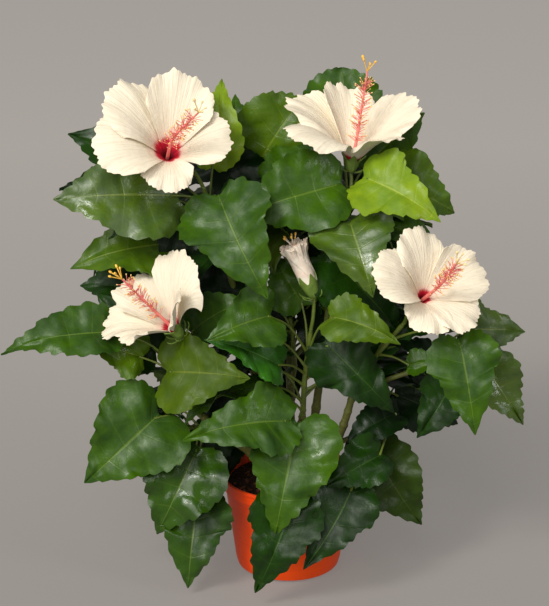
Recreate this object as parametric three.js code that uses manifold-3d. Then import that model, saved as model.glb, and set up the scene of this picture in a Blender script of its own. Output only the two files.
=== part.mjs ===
// Potted hibiscus shrub: pot and soil, six canes, side boughs, masses of leaves, four open
// blooms and one opening bud. Millimetres, +Z up; the origin is the centre of the pot's
// underside, +X is to the right and -Y is the front.
import * as THREE from 'three';
import Module from 'manifold-3d';
import { mergeVertices } from 'three/addons/utils/BufferGeometryUtils.js';

const wasm = await Module();
wasm.setup();

// ---- driving sizes -------------------------------------------------------------------
const clearance = 0.3;

const pot = { height: 95, rimRadius: 65, bandHeight: 12.5, lipHeight: 3.5, lipOut: 1.5,
  wallTop: 61, wallFoot: 51, footRadius: 43, footRound: 9, wall: 3, floor: 4, sides: 28 };
const soilDepth = 7;

const caneFoot = 5.0;
const caneFlare = { radius: 7.5, top: 4.5, height: 5, share: 0.22 };
const boughRadius = { foot: 2.7, tip: 2.2 };
const sproutRadius = 2.1;
const flowerStalk = { foot: 1.9, tip: 1.7 };
const petioleRadius = { foot: 1.5, tip: 1.0 };
const bladeThickness = 1.2;
const bladeArch = 40;
const bladeFold = 0.2;
const bladeStations = [-0.05, 0.1, 0.32, 0.64, 1];
// Leaves that the rule deals: angle between one and the next, how far up the stem they
// start, ranges of stalk length, stalk rise, blade length and blade rise, and blade shape.
const dealt = { golden: 137.5, seedTurn: 47, triesEach: 30, lowest: 0.15, stalk: [26, 72],
  stalkRise: [-5, 65], length: [74, 104], rise: [20, -50], widthShare: 0.74, lean: 45 };

const petal = { length: 82, thickness: 1.2, halfAngle: 42, throatLean: 24, throatRadius: 2.5 };
const petalRows = [0.03, 0.35, 0.7, 1];
const petalColumns = [-1, -0.4, 0.4, 1];
const column = { foot: 2.4, tip: 1.1, start: 4, length: 84, threads: 6, threadLength: 12,
  threadRadius: 0.7, stigmas: 5, stigmaOut: 6, stigmaRise: 12, stigmaRadius: 1 };
// Height above the calyx's foot, and radius there.
const calyxProfile = [[0, 2.2], [3, 5.5], [8, 7], [15, 6.5], [22, 8]];
const budProfile = [[2, 3], [10, 7], [26, 9], [40, 8], [58, 14]];
const budMouth = { ruffles: 5, deep: 0.15, high: 3, style: [44, 52, 68] };

const rad = THREE.MathUtils.degToRad;
const vec = (p) => new THREE.Vector3(p[0], p[1], p[2]);

// A repeatable stand-in for chance, 0 to 1.
const chance = (i, seed) => {
  const v = Math.sin(i * 12.9898 + seed * 78.233) * 43758.5453;
  return v - Math.floor(v);
};

// Unit vector from a compass bearing (0 is +X, 90 is +Y) and a rise above the level.
const direction = (bearing, rise) => new THREE.Vector3(
  Math.cos(rad(bearing)) * Math.cos(rad(rise)),
  Math.sin(rad(bearing)) * Math.cos(rad(rise)),
  Math.sin(rad(rise)));

// ---- limbs ---------------------------------------------------------------------------
// Each cane rises from the soil through the points given and tapers from foot to tip.
const canes = {
  cane_centre: { through: [[4, -4, 89], [9, -9, 125], [13, -16, 160]], tip: 3.2 },
  cane_left: { through: [[-14, -6, 89], [-38, -20, 125], [-82, -36, 168]], tip: 3.0 },
  cane_right: { through: [[22, -6, 89], [48, -18, 140], [62, -20, 189]], tip: 3.0 },
  cane_back_left: { through: [[-12, 14, 89], [-30, 12, 180], [-56, 2, 300]], tip: 2.8 },
  cane_back_right: { through: [[18, 14, 89], [27, 4, 165], [42, 6, 300]], tip: 2.8 },
  cane_back: { through: [[2, 28, 89], [2, 50, 180], [0, 62, 285]], tip: 2.8 },
};

// Each bough leaves its cane at a fraction of the cane's length and ends where its mass starts.
const boughs = {
  bough_top_centre: { from: 'cane_back_left', at: 0.72, through: [[-34, 22, 285], [-30, 24, 320]] },
  bough_far_right: { from: 'cane_right', at: 0.9, through: [[85, -24, 196], [112, -28, 208]] },
  bough_low_left: { from: 'cane_left', at: 0.45, through: [[-58, -22, 138], [-80, -26, 150]] },
  bough_low_front: { from: 'cane_centre', at: 0.55, through: [[4, -24, 140], [0, -36, 156]] },
  bough_low_right: { from: 'cane_right', at: 0.4, through: [[60, -10, 135], [80, -8, 146]] },
  bough_middle: { from: 'cane_back', at: 0.42, through: [[6, 34, 190], [5, 27, 208]] },
  bough_back_left: { from: 'cane_back', at: 0.5, through: [[-35, 66, 215], [-66, 72, 238]] },
  bough_back_right: { from: 'cane_back', at: 0.55, through: [[38, 66, 222], [72, 66, 246]] },
  bough_back_centre: { from: 'cane_back', at: 0.8, through: [[2, 78, 250], [0, 90, 262]] },
  bough_back_low: { from: 'cane_back', at: 0.25, through: [[4, 66, 148], [6, 88, 160]] },
};

// ---- foliage -------------------------------------------------------------------------
// A mass grows on from its limb's tip along `stem`. `leaves` are the ones with a place of
// their own: foot of the blade x y z, bearing, rise, length, width, and how far the face
// leans out from the sky. `more` leaves are then dealt round the stem by the rule, inside
// `reach` of the middle of the mass.
const masses = {
  leaves_top_left: {
    limb: 'cane_back_left', stem: [[-68, -4, 345], [-77, -10, 377]], more: 3, seed: 3,
    leaves: [
      [-120, 30, 380, 173, 22, 90, 68, 40],
      [-135, 15, 362, 180, 5, 80, 52, 30],
      [-101, -14, 374, -166, 2, 113, 86, 62],
      [-90, 5, 355, -150, -60, 62, 46, 60],
      [-105, 5, 324, -167, -12, 100, 72, 40],
      [-70, -2, 396, 66, 70, 84, 52, 70],
      [-64, -38, 382, -49, -54, 104, 80, 85],
    ],
  },
  leaves_top_centre: {
    limb: 'bough_top_centre', stem: [[-24, 22, 355], [-22, 20, 385]], more: 4, seed: 11,
    leaves: [
      [-48, 50, 396, 100, 72, 58, 44, 70],
      [-30, 34, 388, 12, 57, 82, 66, 65],
      [-22, 12, 382, -10, 32, 70, 44, 30],
      [-36, 22, 364, 150, 62, 60, 56, 72],
    ],
  },
  leaves_top_right: {
    limb: 'cane_back_right', stem: [[52, 2, 345], [56, -2, 376]], more: 3, seed: 5,
    leaves: [
      [48, -18, 387, -168, -17, 102, 80, 62],
      [54, 62, 404, 70, 76, 80, 90, 72],
      [72, 34, 386, 15, 42, 76, 58, 45],
      [66, -26, 395, -26, -20, 82, 66, 55],
      [84, 10, 380, -4, -30, 75, 66, 55],
      [68, -16, 350, -14, -15, 76, 56, 30],
      [54, -38, 358, -71, -46, 74, 80, 75],
      [36, -18, 321, 4, -50, 108, 74, 65],
    ],
  },
  leaves_left: {
    limb: 'cane_left', stem: [[-98, -42, 196], [-94, -50, 224]], more: 3, seed: 7,
    leaves: [
      [-152, -40, 252, -164, -2, 112, 50, 36],
      [-139, -38, 222, -170, 16, 64, 46, 50],
      [-122, -10, 214, 176, 30, 60, 50, 55],
      [-108, 25, 262, -176, 8, 76, 56, 40],
      [-92, -22, 244, -17, 36, 74, 52, 45],
      [-112, -62, 221, -20, 6, 80, 74, 62],
    ],
  },
  leaves_centre: {
    limb: 'cane_centre', stem: [[15, -22, 200], [20, -30, 248]], more: 3, seed: 13,
    leaves: [
      [-16, -60, 275, -150, -6, 66, 60, 60],
      [-7, -52, 222, -157, 26, 80, 50, 45],
      [14, -14, 268, 145, 50, 56, 50, 75],
      [36, -54, 272, -23, -10, 70, 48, 50],
      [30, -32, 238, -12, -36, 94, 64, 62],
    ],
  },
  leaves_right: {
    limb: 'cane_right', stem: [[80, -26, 222], [104, -38, 258]], more: 3, seed: 17,
    leaves: [
      [143, -76, 253, -46, -64, 84, 70, 80],
      [100, 8, 172, 0, -28, 72, 58, 50],
      [108, -48, 222, -12, 12, 36, 26, 40],
    ],
  },
  leaves_far_right: {
    limb: 'bough_far_right', stem: [[132, -30, 214], [146, -30, 222]], more: 2, seed: 19,
    leaves: [
      [178, -30, 234, -16, -58, 82, 52, 65],
      [160, -10, 246, 4, 4, 62, 44, 55],
      [150, -50, 206, -150, -52, 60, 52, 78],
    ],
  },
  leaves_low_left: {
    limb: 'bough_low_left', stem: [[-94, -36, 156], [-104, -42, 162]], more: 2, seed: 23,
    leaves: [
      [-120, -52, 176, -159, -38, 94, 94, 74],
      [-84, -48, 142, -146, -58, 92, 82, 75],
      [-86, -46, 91, -108, -66, 88, 72, 82],
    ],
  },
  leaves_low_front: {
    limb: 'bough_low_front', stem: [[-1, -46, 164], [1, -56, 172]], more: 0, seed: 29,
    leaves: [
      [2, -72, 177, -162, 2, 102, 66, 52],
      [8, -68, 174, -122, -62, 108, 84, 85],
      [4, -86, 110, -142, -68, 100, 70, 82],
    ],
  },
  leaves_low_right: {
    limb: 'bough_low_right', stem: [[94, -12, 148], [104, -16, 150]], more: 2, seed: 31,
    leaves: [
      [60, -70, 112, -138, -52, 90, 58, 78],
      [88, -52, 136, -150, -14, 66, 50, 62],
      [86, -16, 128, -26, -56, 88, 68, 75],
      [104, -24, 166, -157, -20, 62, 40, 40],
    ],
  },
  leaves_middle: {
    limb: 'bough_middle', stem: [[4, 24, 224], [2, 22, 244]], more: 4, seed: 53,
    leaves: [
      [-28, 44, 264, -90, -84, 92, 68, 82],
      [38, 42, 262, -90, -84, 88, 64, 82],
    ],
  },
  leaves_back_top: {
    limb: 'cane_back', stem: [[-2, 66, 325], [4, 66, 365]], more: 7, seed: 37, leaves: [],
  },
  leaves_back_left: {
    limb: 'bough_back_left', stem: [[-90, 78, 256], [-108, 84, 280]], more: 8, seed: 41, leaves: [],
  },
  leaves_back_right: {
    limb: 'bough_back_right', stem: [[96, 70, 264], [114, 76, 288]], more: 8, seed: 43, leaves: [],
  },
  leaves_back_centre: {
    limb: 'bough_back_centre', stem: [[-2, 100, 276], [-4, 106, 296]], more: 7, seed: 59, leaves: [],
  },
  leaves_back_low: {
    limb: 'bough_back_low', stem: [[4, 104, 172], [2, 116, 186]], more: 7, seed: 47, leaves: [],
  },
};
// The crown's own bounds, which no leaf of the rule may leave.
const crown = { centre: [-14, 36, 255], radii: [196, 195, 188] };
// The room that a dealt leaf keeps round itself.
const room = 1.5;
// The clear way through the crown's foot: a slanting shaft that no dealt leaf may cross.
const opening = { from: [40, -40, 175], to: [62, 160, 110], radius: 26 };

// ---- blooms --------------------------------------------------------------------------
// Foot of the calyx, bearing and rise of the axis, the limb or mass it stands on, and its
// five petals: turn about the axis, lean of the rim from the axis, share of full length.
const blooms = {
  bloom_top_left: {
    on: 'leaves_top_left', foot: [-111, -20, 406], bearing: -74, rise: 46, via: [-90, 2, 396],
    petals: [[10, 84, 0.78], [84, 76, 1], [146, 88, 1.07], [200, 100, 1.04], [274, 96, 0.74]],
  },
  bloom_top_right: {
    on: 'leaves_top_right', foot: [56, 1, 392], bearing: 10, rise: 81, via: [57, -1, 384],
    petals: [[22, 62, 0.98], [100, 50, 1], [165, 74, 1.1], [216, 96, 1.06], [302, 88, 0.88]],
  },
  bloom_left: {
    on: 'leaves_left', foot: [-97, -60, 254], bearing: 199, rise: 50, via: [-88, -56, 240],
    petals: [[28, 78, 1], [106, 80, 0.86], [158, 80, 0.92], [232, 78, 0.62], [325, 60, 0.7]],
  },
  bloom_right: {
    on: 'leaves_right', foot: [115, -61, 286], bearing: -58, rise: 42, via: [108, -48, 272],
    petals: [[34, 86, 0.86], [112, 90, 0.9], [178, 94, 0.98], [262, 94, 0.74], [323, 88, 0.8]],
  },
};
const bud = {
  on: 'leaves_centre', foot: [24, -35, 283], bearing: 180, rise: 68, via: [22, -33, 262],
};

// ---- geometry helpers ----------------------------------------------------------------
// Triangles as a geometry, turned so that they face out.
function indexed(vertices, faces) {
  const volume = faces.reduce((sum, [a, b, c]) => sum
    + vertices[a].dot(vertices[b].clone().cross(vertices[c])), 0);
  const facing = volume > 0 ? faces : faces.map(([a, b, c]) => [a, c, b]);
  const geometry = new THREE.BufferGeometry();
  const places = vertices.flatMap((v) => v.toArray());
  geometry.setAttribute('position', new THREE.Float32BufferAttribute(places, 3));
  geometry.setIndex(facing.flat());
  return geometry;
}

function toSolid(source) {
  const geometry = source.clone();
  geometry.deleteAttribute('normal');
  geometry.deleteAttribute('uv');
  const merged = mergeVertices(geometry, 1e-4);
  const mesh = new wasm.Mesh({
    numProp: 3,
    vertProperties: new Float32Array(merged.attributes.position.array),
    triVerts: new Uint32Array(merged.index.array),
  });
  return new wasm.Manifold(mesh);
}

function toGeometry(solid) {
  const mesh = solid.getMesh();
  const geometry = new THREE.BufferGeometry();
  const places = new Float32Array(mesh.vertProperties);
  geometry.setAttribute('position', new THREE.BufferAttribute(places, 3));
  geometry.setIndex(new THREE.BufferAttribute(new Uint32Array(mesh.triVerts), 1));
  return geometry;
}

const joined = (solids) => solids.reduce((sum, next) => sum.add(next));

// The biggest body of a solid: loose scraps that a cut leaves are dropped.
function biggest(solid) {
  const bodies = solid.decompose();
  return bodies.reduce((best, body) => (body.volume() > best.volume() ? body : best));
}

// The faces that join each ring of a body to the next.
function ringFaces(rings) {
  const count = rings[0].length;
  const faces = [];
  for (let i = 0; i < rings.length - 1; i += 1) {
    for (let j = 0; j < count; j += 1) {
      const a = i * count + j;
      const b = i * count + ((j + 1) % count);
      faces.push([a, b, b + count], [a, b + count, a + count]);
    }
  }
  return faces;
}

// A closed body through rings of equal count, capped flat at both ends.
function loft(rings) {
  const count = rings[0].length;
  const faces = ringFaces(rings);
  const last = (rings.length - 1) * count;
  for (let j = 1; j < count - 1; j += 1) {
    faces.push([0, j + 1, j], [last, last + j, last + j + 1]);
  }
  return toSolid(indexed(rings.flat(), faces));
}

// A thin closed body between two grids of points, upper and lower.
function slab(upper, lower) {
  const across = upper[0].length;
  const rings = upper.map((row, i) => [...row, ...[...lower[i]].reverse()]);
  const count = 2 * across;
  const faces = ringFaces(rings);
  const last = (rings.length - 1) * count;
  for (let j = 0; j < across - 1; j += 1) {
    const k = count - 1 - j;
    faces.push([j, k, j + 1], [j + 1, k, k - 1]);
    faces.push([last + j, last + j + 1, last + k], [last + j + 1, last + k - 1, last + k]);
  }
  return toSolid(indexed(rings.flat(), faces));
}

const smoothLine = (points) => new THREE.CatmullRomCurve3(points, false, 'centripetal');

// A tapering limb along a smooth line through points.
function limb(points, footRadius, tipRadius, sides, steps) {
  const line = smoothLine(points);
  let side = new THREE.Vector3(1, 0, 0);
  const rings = [];
  for (let i = 0; i <= steps; i += 1) {
    const f = i / steps;
    const centre = line.getPoint(f);
    const along = line.getTangent(f);
    side = side.clone().addScaledVector(along, -side.dot(along)).normalize();
    const up = along.clone().cross(side);
    const radius = footRadius + (tipRadius - footRadius) * f;
    const ring = [];
    for (let j = 0; j < sides; j += 1) {
      const angle = (2 * Math.PI * j) / sides;
      ring.push(centre.clone().addScaledVector(side, radius * Math.cos(angle))
        .addScaledVector(up, radius * Math.sin(angle)));
    }
    rings.push(ring);
  }
  return loft(rings);
}

// ---- leaf ----------------------------------------------------------------------------
// Half width of the blade, as a share of its widest, from foot (0) to tip (1).
function bladeOutline(s) {
  const shoulder = Math.min(1, (s + 0.07) / 0.32) ** 0.6;
  const taper = (1 - s) ** 1.3 * (1 + 1.9 * s);
  return Math.max(0.02, shoulder * taper);
}

// The blade's own frame: along the midrib, across it, and out of its face.
function bladeFrame(leaf) {
  const [x, y, z, bearing, rise, length, width, lean, facing = -90] = leaf;
  const along = direction(bearing, rise);
  const toSky = direction(facing, 90 - lean);
  const face = toSky.addScaledVector(along, -toSky.dot(along)).normalize();
  const across = along.clone().cross(face);
  return { foot: vec([x, y, z]), along, across, face, length, width };
}

function bladePoint(frame, s, t, grow = 0) {
  const arch = rad(bladeArch);
  const radius = frame.length / (2 * Math.sin(arch / 2));
  const turn = arch * (s - 0.5);
  const half = (frame.width / 2) * bladeOutline(s) + grow;
  const out = frame.length / 2 + radius * Math.sin(turn) + grow * (2 * s - 1);
  const height = radius * (Math.cos(turn) - Math.cos(arch / 2)) + bladeFold * half * Math.abs(t);
  return frame.foot.clone().addScaledVector(frame.along, out)
    .addScaledVector(frame.across, half * t).addScaledVector(frame.face, height);
}

function bladeSolid(leaf, grow = 0) {
  const frame = bladeFrame(leaf);
  const half = bladeThickness / 2 + grow;
  const skin = (offset) => bladeStations.map((s) => [-1, 0, 1].map(
    (t) => bladePoint(frame, s, t, grow).addScaledVector(frame.face, offset)));
  return slab(skin(half), skin(-half));
}

// The leaf's stalk, from its place on the stem to a little way up the midrib.
function petioleSolid(leaf, stem, grow = 0) {
  const frame = bladeFrame(leaf);
  const end = bladePoint(frame, 0.07, 0);
  const root = stemRoot(stem, frame.foot);
  const middle = root.clone().lerp(frame.foot, 0.55);
  middle.z += 0.1 * root.distanceTo(frame.foot);
  return limb([root, middle, end], petioleRadius.foot + grow, petioleRadius.tip + grow, 3, 2);
}

// The place on a stem where a leaf with its foot there would root: a little below it.
function stemRoot(stem, foot) {
  let best = 0;
  for (let i = 0; i <= 20; i += 1) {
    const f = i / 20;
    if (stem.getPoint(f).distanceTo(foot) < stem.getPoint(best).distanceTo(foot)) best = f;
  }
  return stem.getPoint(Math.max(0.08, best - 0.15));
}

const samplePlaces = [[0, 0], [0.5, 0], [1, 0], [0.3, -1], [0.3, 1], [0.6, -1], [0.6, 1]];

// ---- foliage by rule -----------------------------------------------------------------
const openingLine = new THREE.Line3(vec(opening.from), vec(opening.to));

function insideCrown(point) {
  const [cx, cy, cz] = crown.centre;
  const [rx, ry, rz] = crown.radii;
  const across = openingLine.closestPointToPoint(point, true, new THREE.Vector3());
  return ((point.x - cx) / rx) ** 2 + ((point.y - cy) / ry) ** 2 + ((point.z - cz) / rz) ** 2 < 1
    && across.distanceTo(point) > opening.radius;
}

function meets(solid, other) {
  const box = solid.boundingBox();
  const near = [0, 1, 2].every((k) => box.min[k] < other.bounds.max[k]
    && other.bounds.min[k] < box.max[k]);
  return near && solid.intersect(other.solid).volume() > 0;
}

function take(taken, solid, owner = '') {
  taken.push({ solid, bounds: solid.boundingBox(), owner });
}

const between = ([low, high], f) => low + (high - low) * f;

// The k-th leaf that the rule deals round a stem.
function dealtLeaf(k, seed, stem) {
  const bearing = (seed * dealt.seedTurn + k * dealt.golden) % 360;
  const place = stem.getPoint(between([dealt.lowest, 1], chance(k, seed)));
  const stalk = between(dealt.stalk, chance(k, seed + 0.3));
  const stalkRise = between(dealt.stalkRise, chance(k, seed + 0.5));
  const foot = place.clone().addScaledVector(direction(bearing, stalkRise), stalk);
  const length = between(dealt.length, chance(k, seed + 0.7));
  const rise = between(dealt.rise, chance(k, seed + 0.9));
  return [...foot.toArray(), bearing, rise, length, dealt.widthShare * length, dealt.lean, bearing];
}

// Leaves dealt round a stem at the golden angle. One that would leave the crown, or touch
// a limb, a bloom or a leaf that is already there, is skipped.
function dealtLeaves(mass, stem, taken, otherStems) {
  const found = [];
  const tries = dealt.triesEach * mass.more;
  for (let k = 0; k < tries && found.length < mass.more; k += 1) {
    const leaf = dealtLeaf(k, mass.seed, stem);
    const frame = bladeFrame(leaf);
    if (!samplePlaces.every(([s, t]) => insideCrown(bladePoint(frame, s, t)))) continue;
    const blade = bladeSolid(leaf, room);
    const stalk = petioleSolid(leaf, stem, room);
    const near = [...taken, ...otherStems];
    if (near.some((other) => meets(blade, other) || meets(stalk, other))) continue;
    found.push(leaf);
    take(taken, blade);
    take(taken, stalk);
  }
  return found;
}

// ---- bloom ---------------------------------------------------------------------------
function bloomFrame(bloom) {
  const axis = direction(bloom.bearing, bloom.rise);
  const right = new THREE.Vector3(1, 0, 0);
  right.addScaledVector(axis, -right.dot(axis)).normalize();
  return { foot: vec(bloom.foot), axis, right, up: axis.clone().cross(right) };
}

// A place in the bloom: turn about the axis, distance out from it, height along it.
function inBloom(frame, turn, out, height) {
  return frame.foot.clone().addScaledVector(frame.axis, height)
    .addScaledVector(frame.right, out * Math.cos(rad(turn)))
    .addScaledVector(frame.up, out * Math.sin(rad(turn)));
}

// Point on a petal: s from throat to rim, t across, its midline an arc that leans out.
function petalPoint(frame, [turn, lean, share], s, t, lift) {
  const reach = petal.length * share * s * (1 - 0.14 * t * t * s);
  const first = rad(petal.throatLean);
  const bend = (rad(lean) - first) / (petal.length * share);
  const out = petal.throatRadius + (Math.cos(first) - Math.cos(first + bend * reach)) / bend;
  const height = column.start + (Math.sin(first + bend * reach) - Math.sin(first)) / bend;
  const spread = petal.halfAngle * (1.15 - 0.25 * s);
  return inBloom(frame, turn + t * spread, out, height + lift + 3 * t * s);
}

function petalSolid(frame, one, grow = 0) {
  const half = petal.thickness / 2 + grow;
  const skin = (lift) => petalRows.map((s) => petalColumns.map(
    (t) => petalPoint(frame, one, s, t, lift)));
  return slab(skin(half), skin(-half));
}

const turns = (count) => Array.from({ length: count }, (_, j) => (j * 360) / count);

// Receptacle and calyx: a small goblet about the axis.
function calyxSolid(frame, grow = 0) {
  return loft(calyxProfile.map(([height, radius]) => turns(6).map(
    (turn) => inBloom(frame, turn, radius + grow, height))));
}

function spike(from, to, radius) {
  return limb([from, from.clone().lerp(to, 0.5), to], radius, radius * 0.7, 3, 1);
}

// The column at the heart of a bloom: threads along its upper half, stigmas at its tip.
function columnSolid(frame) {
  const top = column.start + column.length;
  const ends = [column.start, (column.start + top) / 2, top].map((h) => inBloom(frame, 0, 0, h));
  const pieces = [limb(ends, column.foot, column.tip, 5, 1)];
  for (let i = 0; i < column.threads; i += 1) {
    const height = column.length * (0.4 + (0.55 * i) / column.threads);
    const turn = i * dealt.golden;
    pieces.push(spike(inBloom(frame, turn, 0, height),
      inBloom(frame, turn, column.threadLength, height + 5), column.threadRadius));
  }
  turns(column.stigmas).forEach((turn) => pieces.push(spike(inBloom(frame, turn, 0, top - 2),
    inBloom(frame, turn, column.stigmaOut, top + column.stigmaRise), column.stigmaRadius)));
  return joined(pieces);
}

// ---- build ---------------------------------------------------------------------------
const group = new THREE.Group();
const looks = {
  terracotta: { color: 0xc8501e, roughness: 0.55, metalness: 0 },
  peat: { color: 0x2a1c12, roughness: 0.95, metalness: 0 },
  cane: { color: 0x5d6226, roughness: 0.6, metalness: 0 },
  leaf: { color: 0x3d6b22, roughness: 0.35, metalness: 0 },
  petal: { color: 0xf3e6cc, roughness: 0.6, metalness: 0 },
};

function addMesh(name, geometry, look) {
  const mesh = new THREE.Mesh(geometry, new THREE.MeshStandardMaterial(looks[look]));
  mesh.name = name;
  group.add(mesh);
}

// A body turned about the pot's axis from radius and height pairs.
function turned(profile) {
  const points = profile.map(([r, z]) => new THREE.Vector2(r, z));
  return toGeometry(toSolid(new THREE.LatheGeometry(points, pot.sides).rotateX(Math.PI / 2)));
}

const bandFoot = pot.height - pot.bandHeight;
const soilTop = pot.height - soilDepth;

function potGeometry() {
  const lipFoot = pot.height - pot.lipHeight;
  const bandRadius = pot.rimRadius - pot.lipOut;
  const outside = [[0, 0], [pot.footRadius, 0],
    [pot.footRadius + 0.7 * pot.footRound, 0.3 * pot.footRound], [pot.wallFoot, pot.footRound],
    [pot.wallTop, bandFoot - 1], [pot.wallTop, bandFoot], [bandRadius, bandFoot],
    [bandRadius, lipFoot], [pot.rimRadius, lipFoot], [pot.rimRadius, pot.height]];
  const inside = [[pot.rimRadius - pot.wall, pot.height], [pot.wallTop - pot.wall, bandFoot],
    [pot.wallFoot - pot.wall, pot.footRound], [pot.footRadius, pot.floor], [0, pot.floor]];
  return turned([...outside, ...inside]);
}

function soilGeometry() {
  const wallTop = pot.wallTop - pot.wall - 2 * clearance;
  const wallFoot = pot.wallFoot - pot.wall - 2 * clearance;
  const floor = pot.floor + clearance;
  return turned([[0, floor], [pot.footRadius - clearance, floor], [wallFoot, pot.footRound],
    [wallTop, bandFoot], [wallTop, soilTop], [0, soilTop]]);
}

addMesh('pot', potGeometry(), 'terracotta');
addMesh('soil', soilGeometry(), 'peat');

const tips = {};
const limbs = [];
const lines = {};

function noteTip(name, line, radius) {
  lines[name] = line;
  tips[name] = { point: line.getPoint(1), along: line.getTangent(1), radius };
}

for (const [name, cane] of Object.entries(canes)) {
  const points = cane.through.map(vec);
  const line = smoothLine(points);
  noteTip(name, line, cane.tip);
  const lifted = points[0].clone().setZ(points[0].z + caneFlare.height);
  const flare = limb([points[0], lifted, line.getPoint(caneFlare.share)],
    caneFlare.radius, caneFlare.top, 6, 2);
  const caneSolid = (grow) => limb(points, caneFoot + grow, cane.tip + grow, 6, 4).add(flare);
  const whole = caneSolid(0).trimByPlane([0, 0, 1], soilTop + clearance);
  addMesh(name, toGeometry(whole), 'cane');
  limbs.push({ name, solid: whole, grown: caneSolid(clearance) });
}

for (const [name, bough] of Object.entries(boughs)) {
  const points = [lines[bough.from].getPoint(bough.at), ...bough.through.map(vec)];
  noteTip(name, smoothLine(points), boughRadius.tip);
  const boughSolid = (grow) => limb(points, boughRadius.foot + grow, boughRadius.tip + grow, 6, 3);
  const cut = limbs.reduce((body, other) => body.subtract(other.grown), boughSolid(0));
  addMesh(name, toGeometry(biggest(cut)), 'cane');
  limbs.push({ name, solid: boughSolid(0), grown: boughSolid(clearance) });
}

// Each mass's stem goes on from its limb's tip.
const stems = {};
for (const [name, mass] of Object.entries(masses)) {
  const tip = tips[mass.limb];
  const start = tip.point.clone().addScaledVector(tip.along, clearance);
  const points = [start, start.clone().addScaledVector(tip.along, 4), ...mass.stem.map(vec)];
  stems[name] = { points, line: smoothLine(points) };
}

// A bloom's stalk goes on from the tip of its mass's stem.
function stalkSolid(bloom, grow = 0) {
  const { line } = stems[bloom.on];
  const start = line.getPoint(1).addScaledVector(line.getTangent(1), clearance);
  const points = [start, start.clone().addScaledVector(line.getTangent(1), 3), vec(bloom.via),
    inBloom(bloomFrame(bloom), 0, 0, 2)];
  return limb(points, flowerStalk.foot + grow, flowerStalk.tip + grow, 5, 3);
}

const bloomGrown = [];
const taken = [];

function addBloom(name, build) {
  addMesh(name, toGeometry(biggest(build(0))), 'petal');
  bloomGrown.push(build(clearance));
  take(taken, build(clearance));
}

for (const [name, bloom] of Object.entries(blooms)) {
  const frame = bloomFrame(bloom);
  addBloom(name, (grow) => joined([
    stalkSolid(bloom, grow), calyxSolid(frame, grow), columnSolid(frame),
    ...bloom.petals.map((one) => petalSolid(frame, one, grow))]));
}

// The opening bud: petals still rolled in a spindle that widens to a ruffled mouth.
function budSolid(grow) {
  const frame = bloomFrame(bud);
  const mouth = budProfile.length - 1;
  const rings = budProfile.map(([height, radius], i) => turns(2 * budMouth.ruffles).map((turn, j) => {
    const ruffle = i === mouth ? j % 2 : 0;
    const out = radius * (1 + budMouth.deep * ruffle) + grow;
    return inBloom(frame, turn, out, height + budMouth.high * ruffle);
  }));
  const style = limb(budMouth.style.map((h) => inBloom(frame, 0, 0, h)), 1, 0.8, 5, 2);
  return joined([stalkSolid(bud, grow), calyxSolid(frame, grow), loft(rings), style]);
}
addBloom('bud_centre', budSolid);

limbs.forEach((other) => take(taken, other.grown));

for (const [name, mass] of Object.entries(masses)) {
  for (const leaf of mass.leaves) {
    take(taken, bladeSolid(leaf, clearance));
    take(taken, petioleSolid(leaf, stems[name].line, clearance));
  }
}

function stemSolid(name, grow) {
  const foot = tips[masses[name].limb].radius;
  return limb(stems[name].points, foot + grow, sproutRadius + grow, 5, 3);
}

const stemBodies = [];
Object.keys(masses).forEach((name) => take(stemBodies, stemSolid(name, clearance), name));

const foliageGrown = [];
for (const [name, mass] of Object.entries(masses)) {
  const { line } = stems[name];
  const otherStems = stemBodies.filter((other) => other.owner !== name);
  const leaves = [...mass.leaves, ...dealtLeaves(mass, line, taken, otherStems)];
  const build = (grow) => joined([stemSolid(name, grow),
    ...leaves.flatMap((leaf) => [petioleSolid(leaf, line, grow), bladeSolid(leaf, grow)])]);
  const others = [...limbs.filter((other) => other.name !== mass.limb).map((other) => other.grown),
    ...bloomGrown, ...foliageGrown];
  const own = limbs.find((other) => other.name === mass.limb).solid;
  const cut = others.reduce((body, other) => body.subtract(other), build(0)).subtract(own);
  addMesh(name, toGeometry(biggest(cut)), 'leaf');
  foliageGrown.push(build(clearance));
}

export default group;
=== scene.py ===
import math
import bpy
import numpy as np
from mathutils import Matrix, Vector
from mathutils.bvhtree import BVHTree


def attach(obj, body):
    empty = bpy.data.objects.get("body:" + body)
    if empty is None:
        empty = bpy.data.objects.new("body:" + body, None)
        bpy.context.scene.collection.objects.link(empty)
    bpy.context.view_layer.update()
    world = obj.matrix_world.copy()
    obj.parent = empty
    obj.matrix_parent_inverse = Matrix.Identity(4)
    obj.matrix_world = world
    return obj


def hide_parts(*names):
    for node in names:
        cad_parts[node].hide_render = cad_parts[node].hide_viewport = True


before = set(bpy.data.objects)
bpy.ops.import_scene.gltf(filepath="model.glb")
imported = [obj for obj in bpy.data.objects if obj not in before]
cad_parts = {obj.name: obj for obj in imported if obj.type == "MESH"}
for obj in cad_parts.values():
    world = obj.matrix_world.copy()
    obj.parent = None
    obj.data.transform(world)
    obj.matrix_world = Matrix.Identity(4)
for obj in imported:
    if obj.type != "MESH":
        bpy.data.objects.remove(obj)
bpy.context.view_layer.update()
mm = 0.001
print("frame loaded,", len(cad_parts), "nodes")


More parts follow.
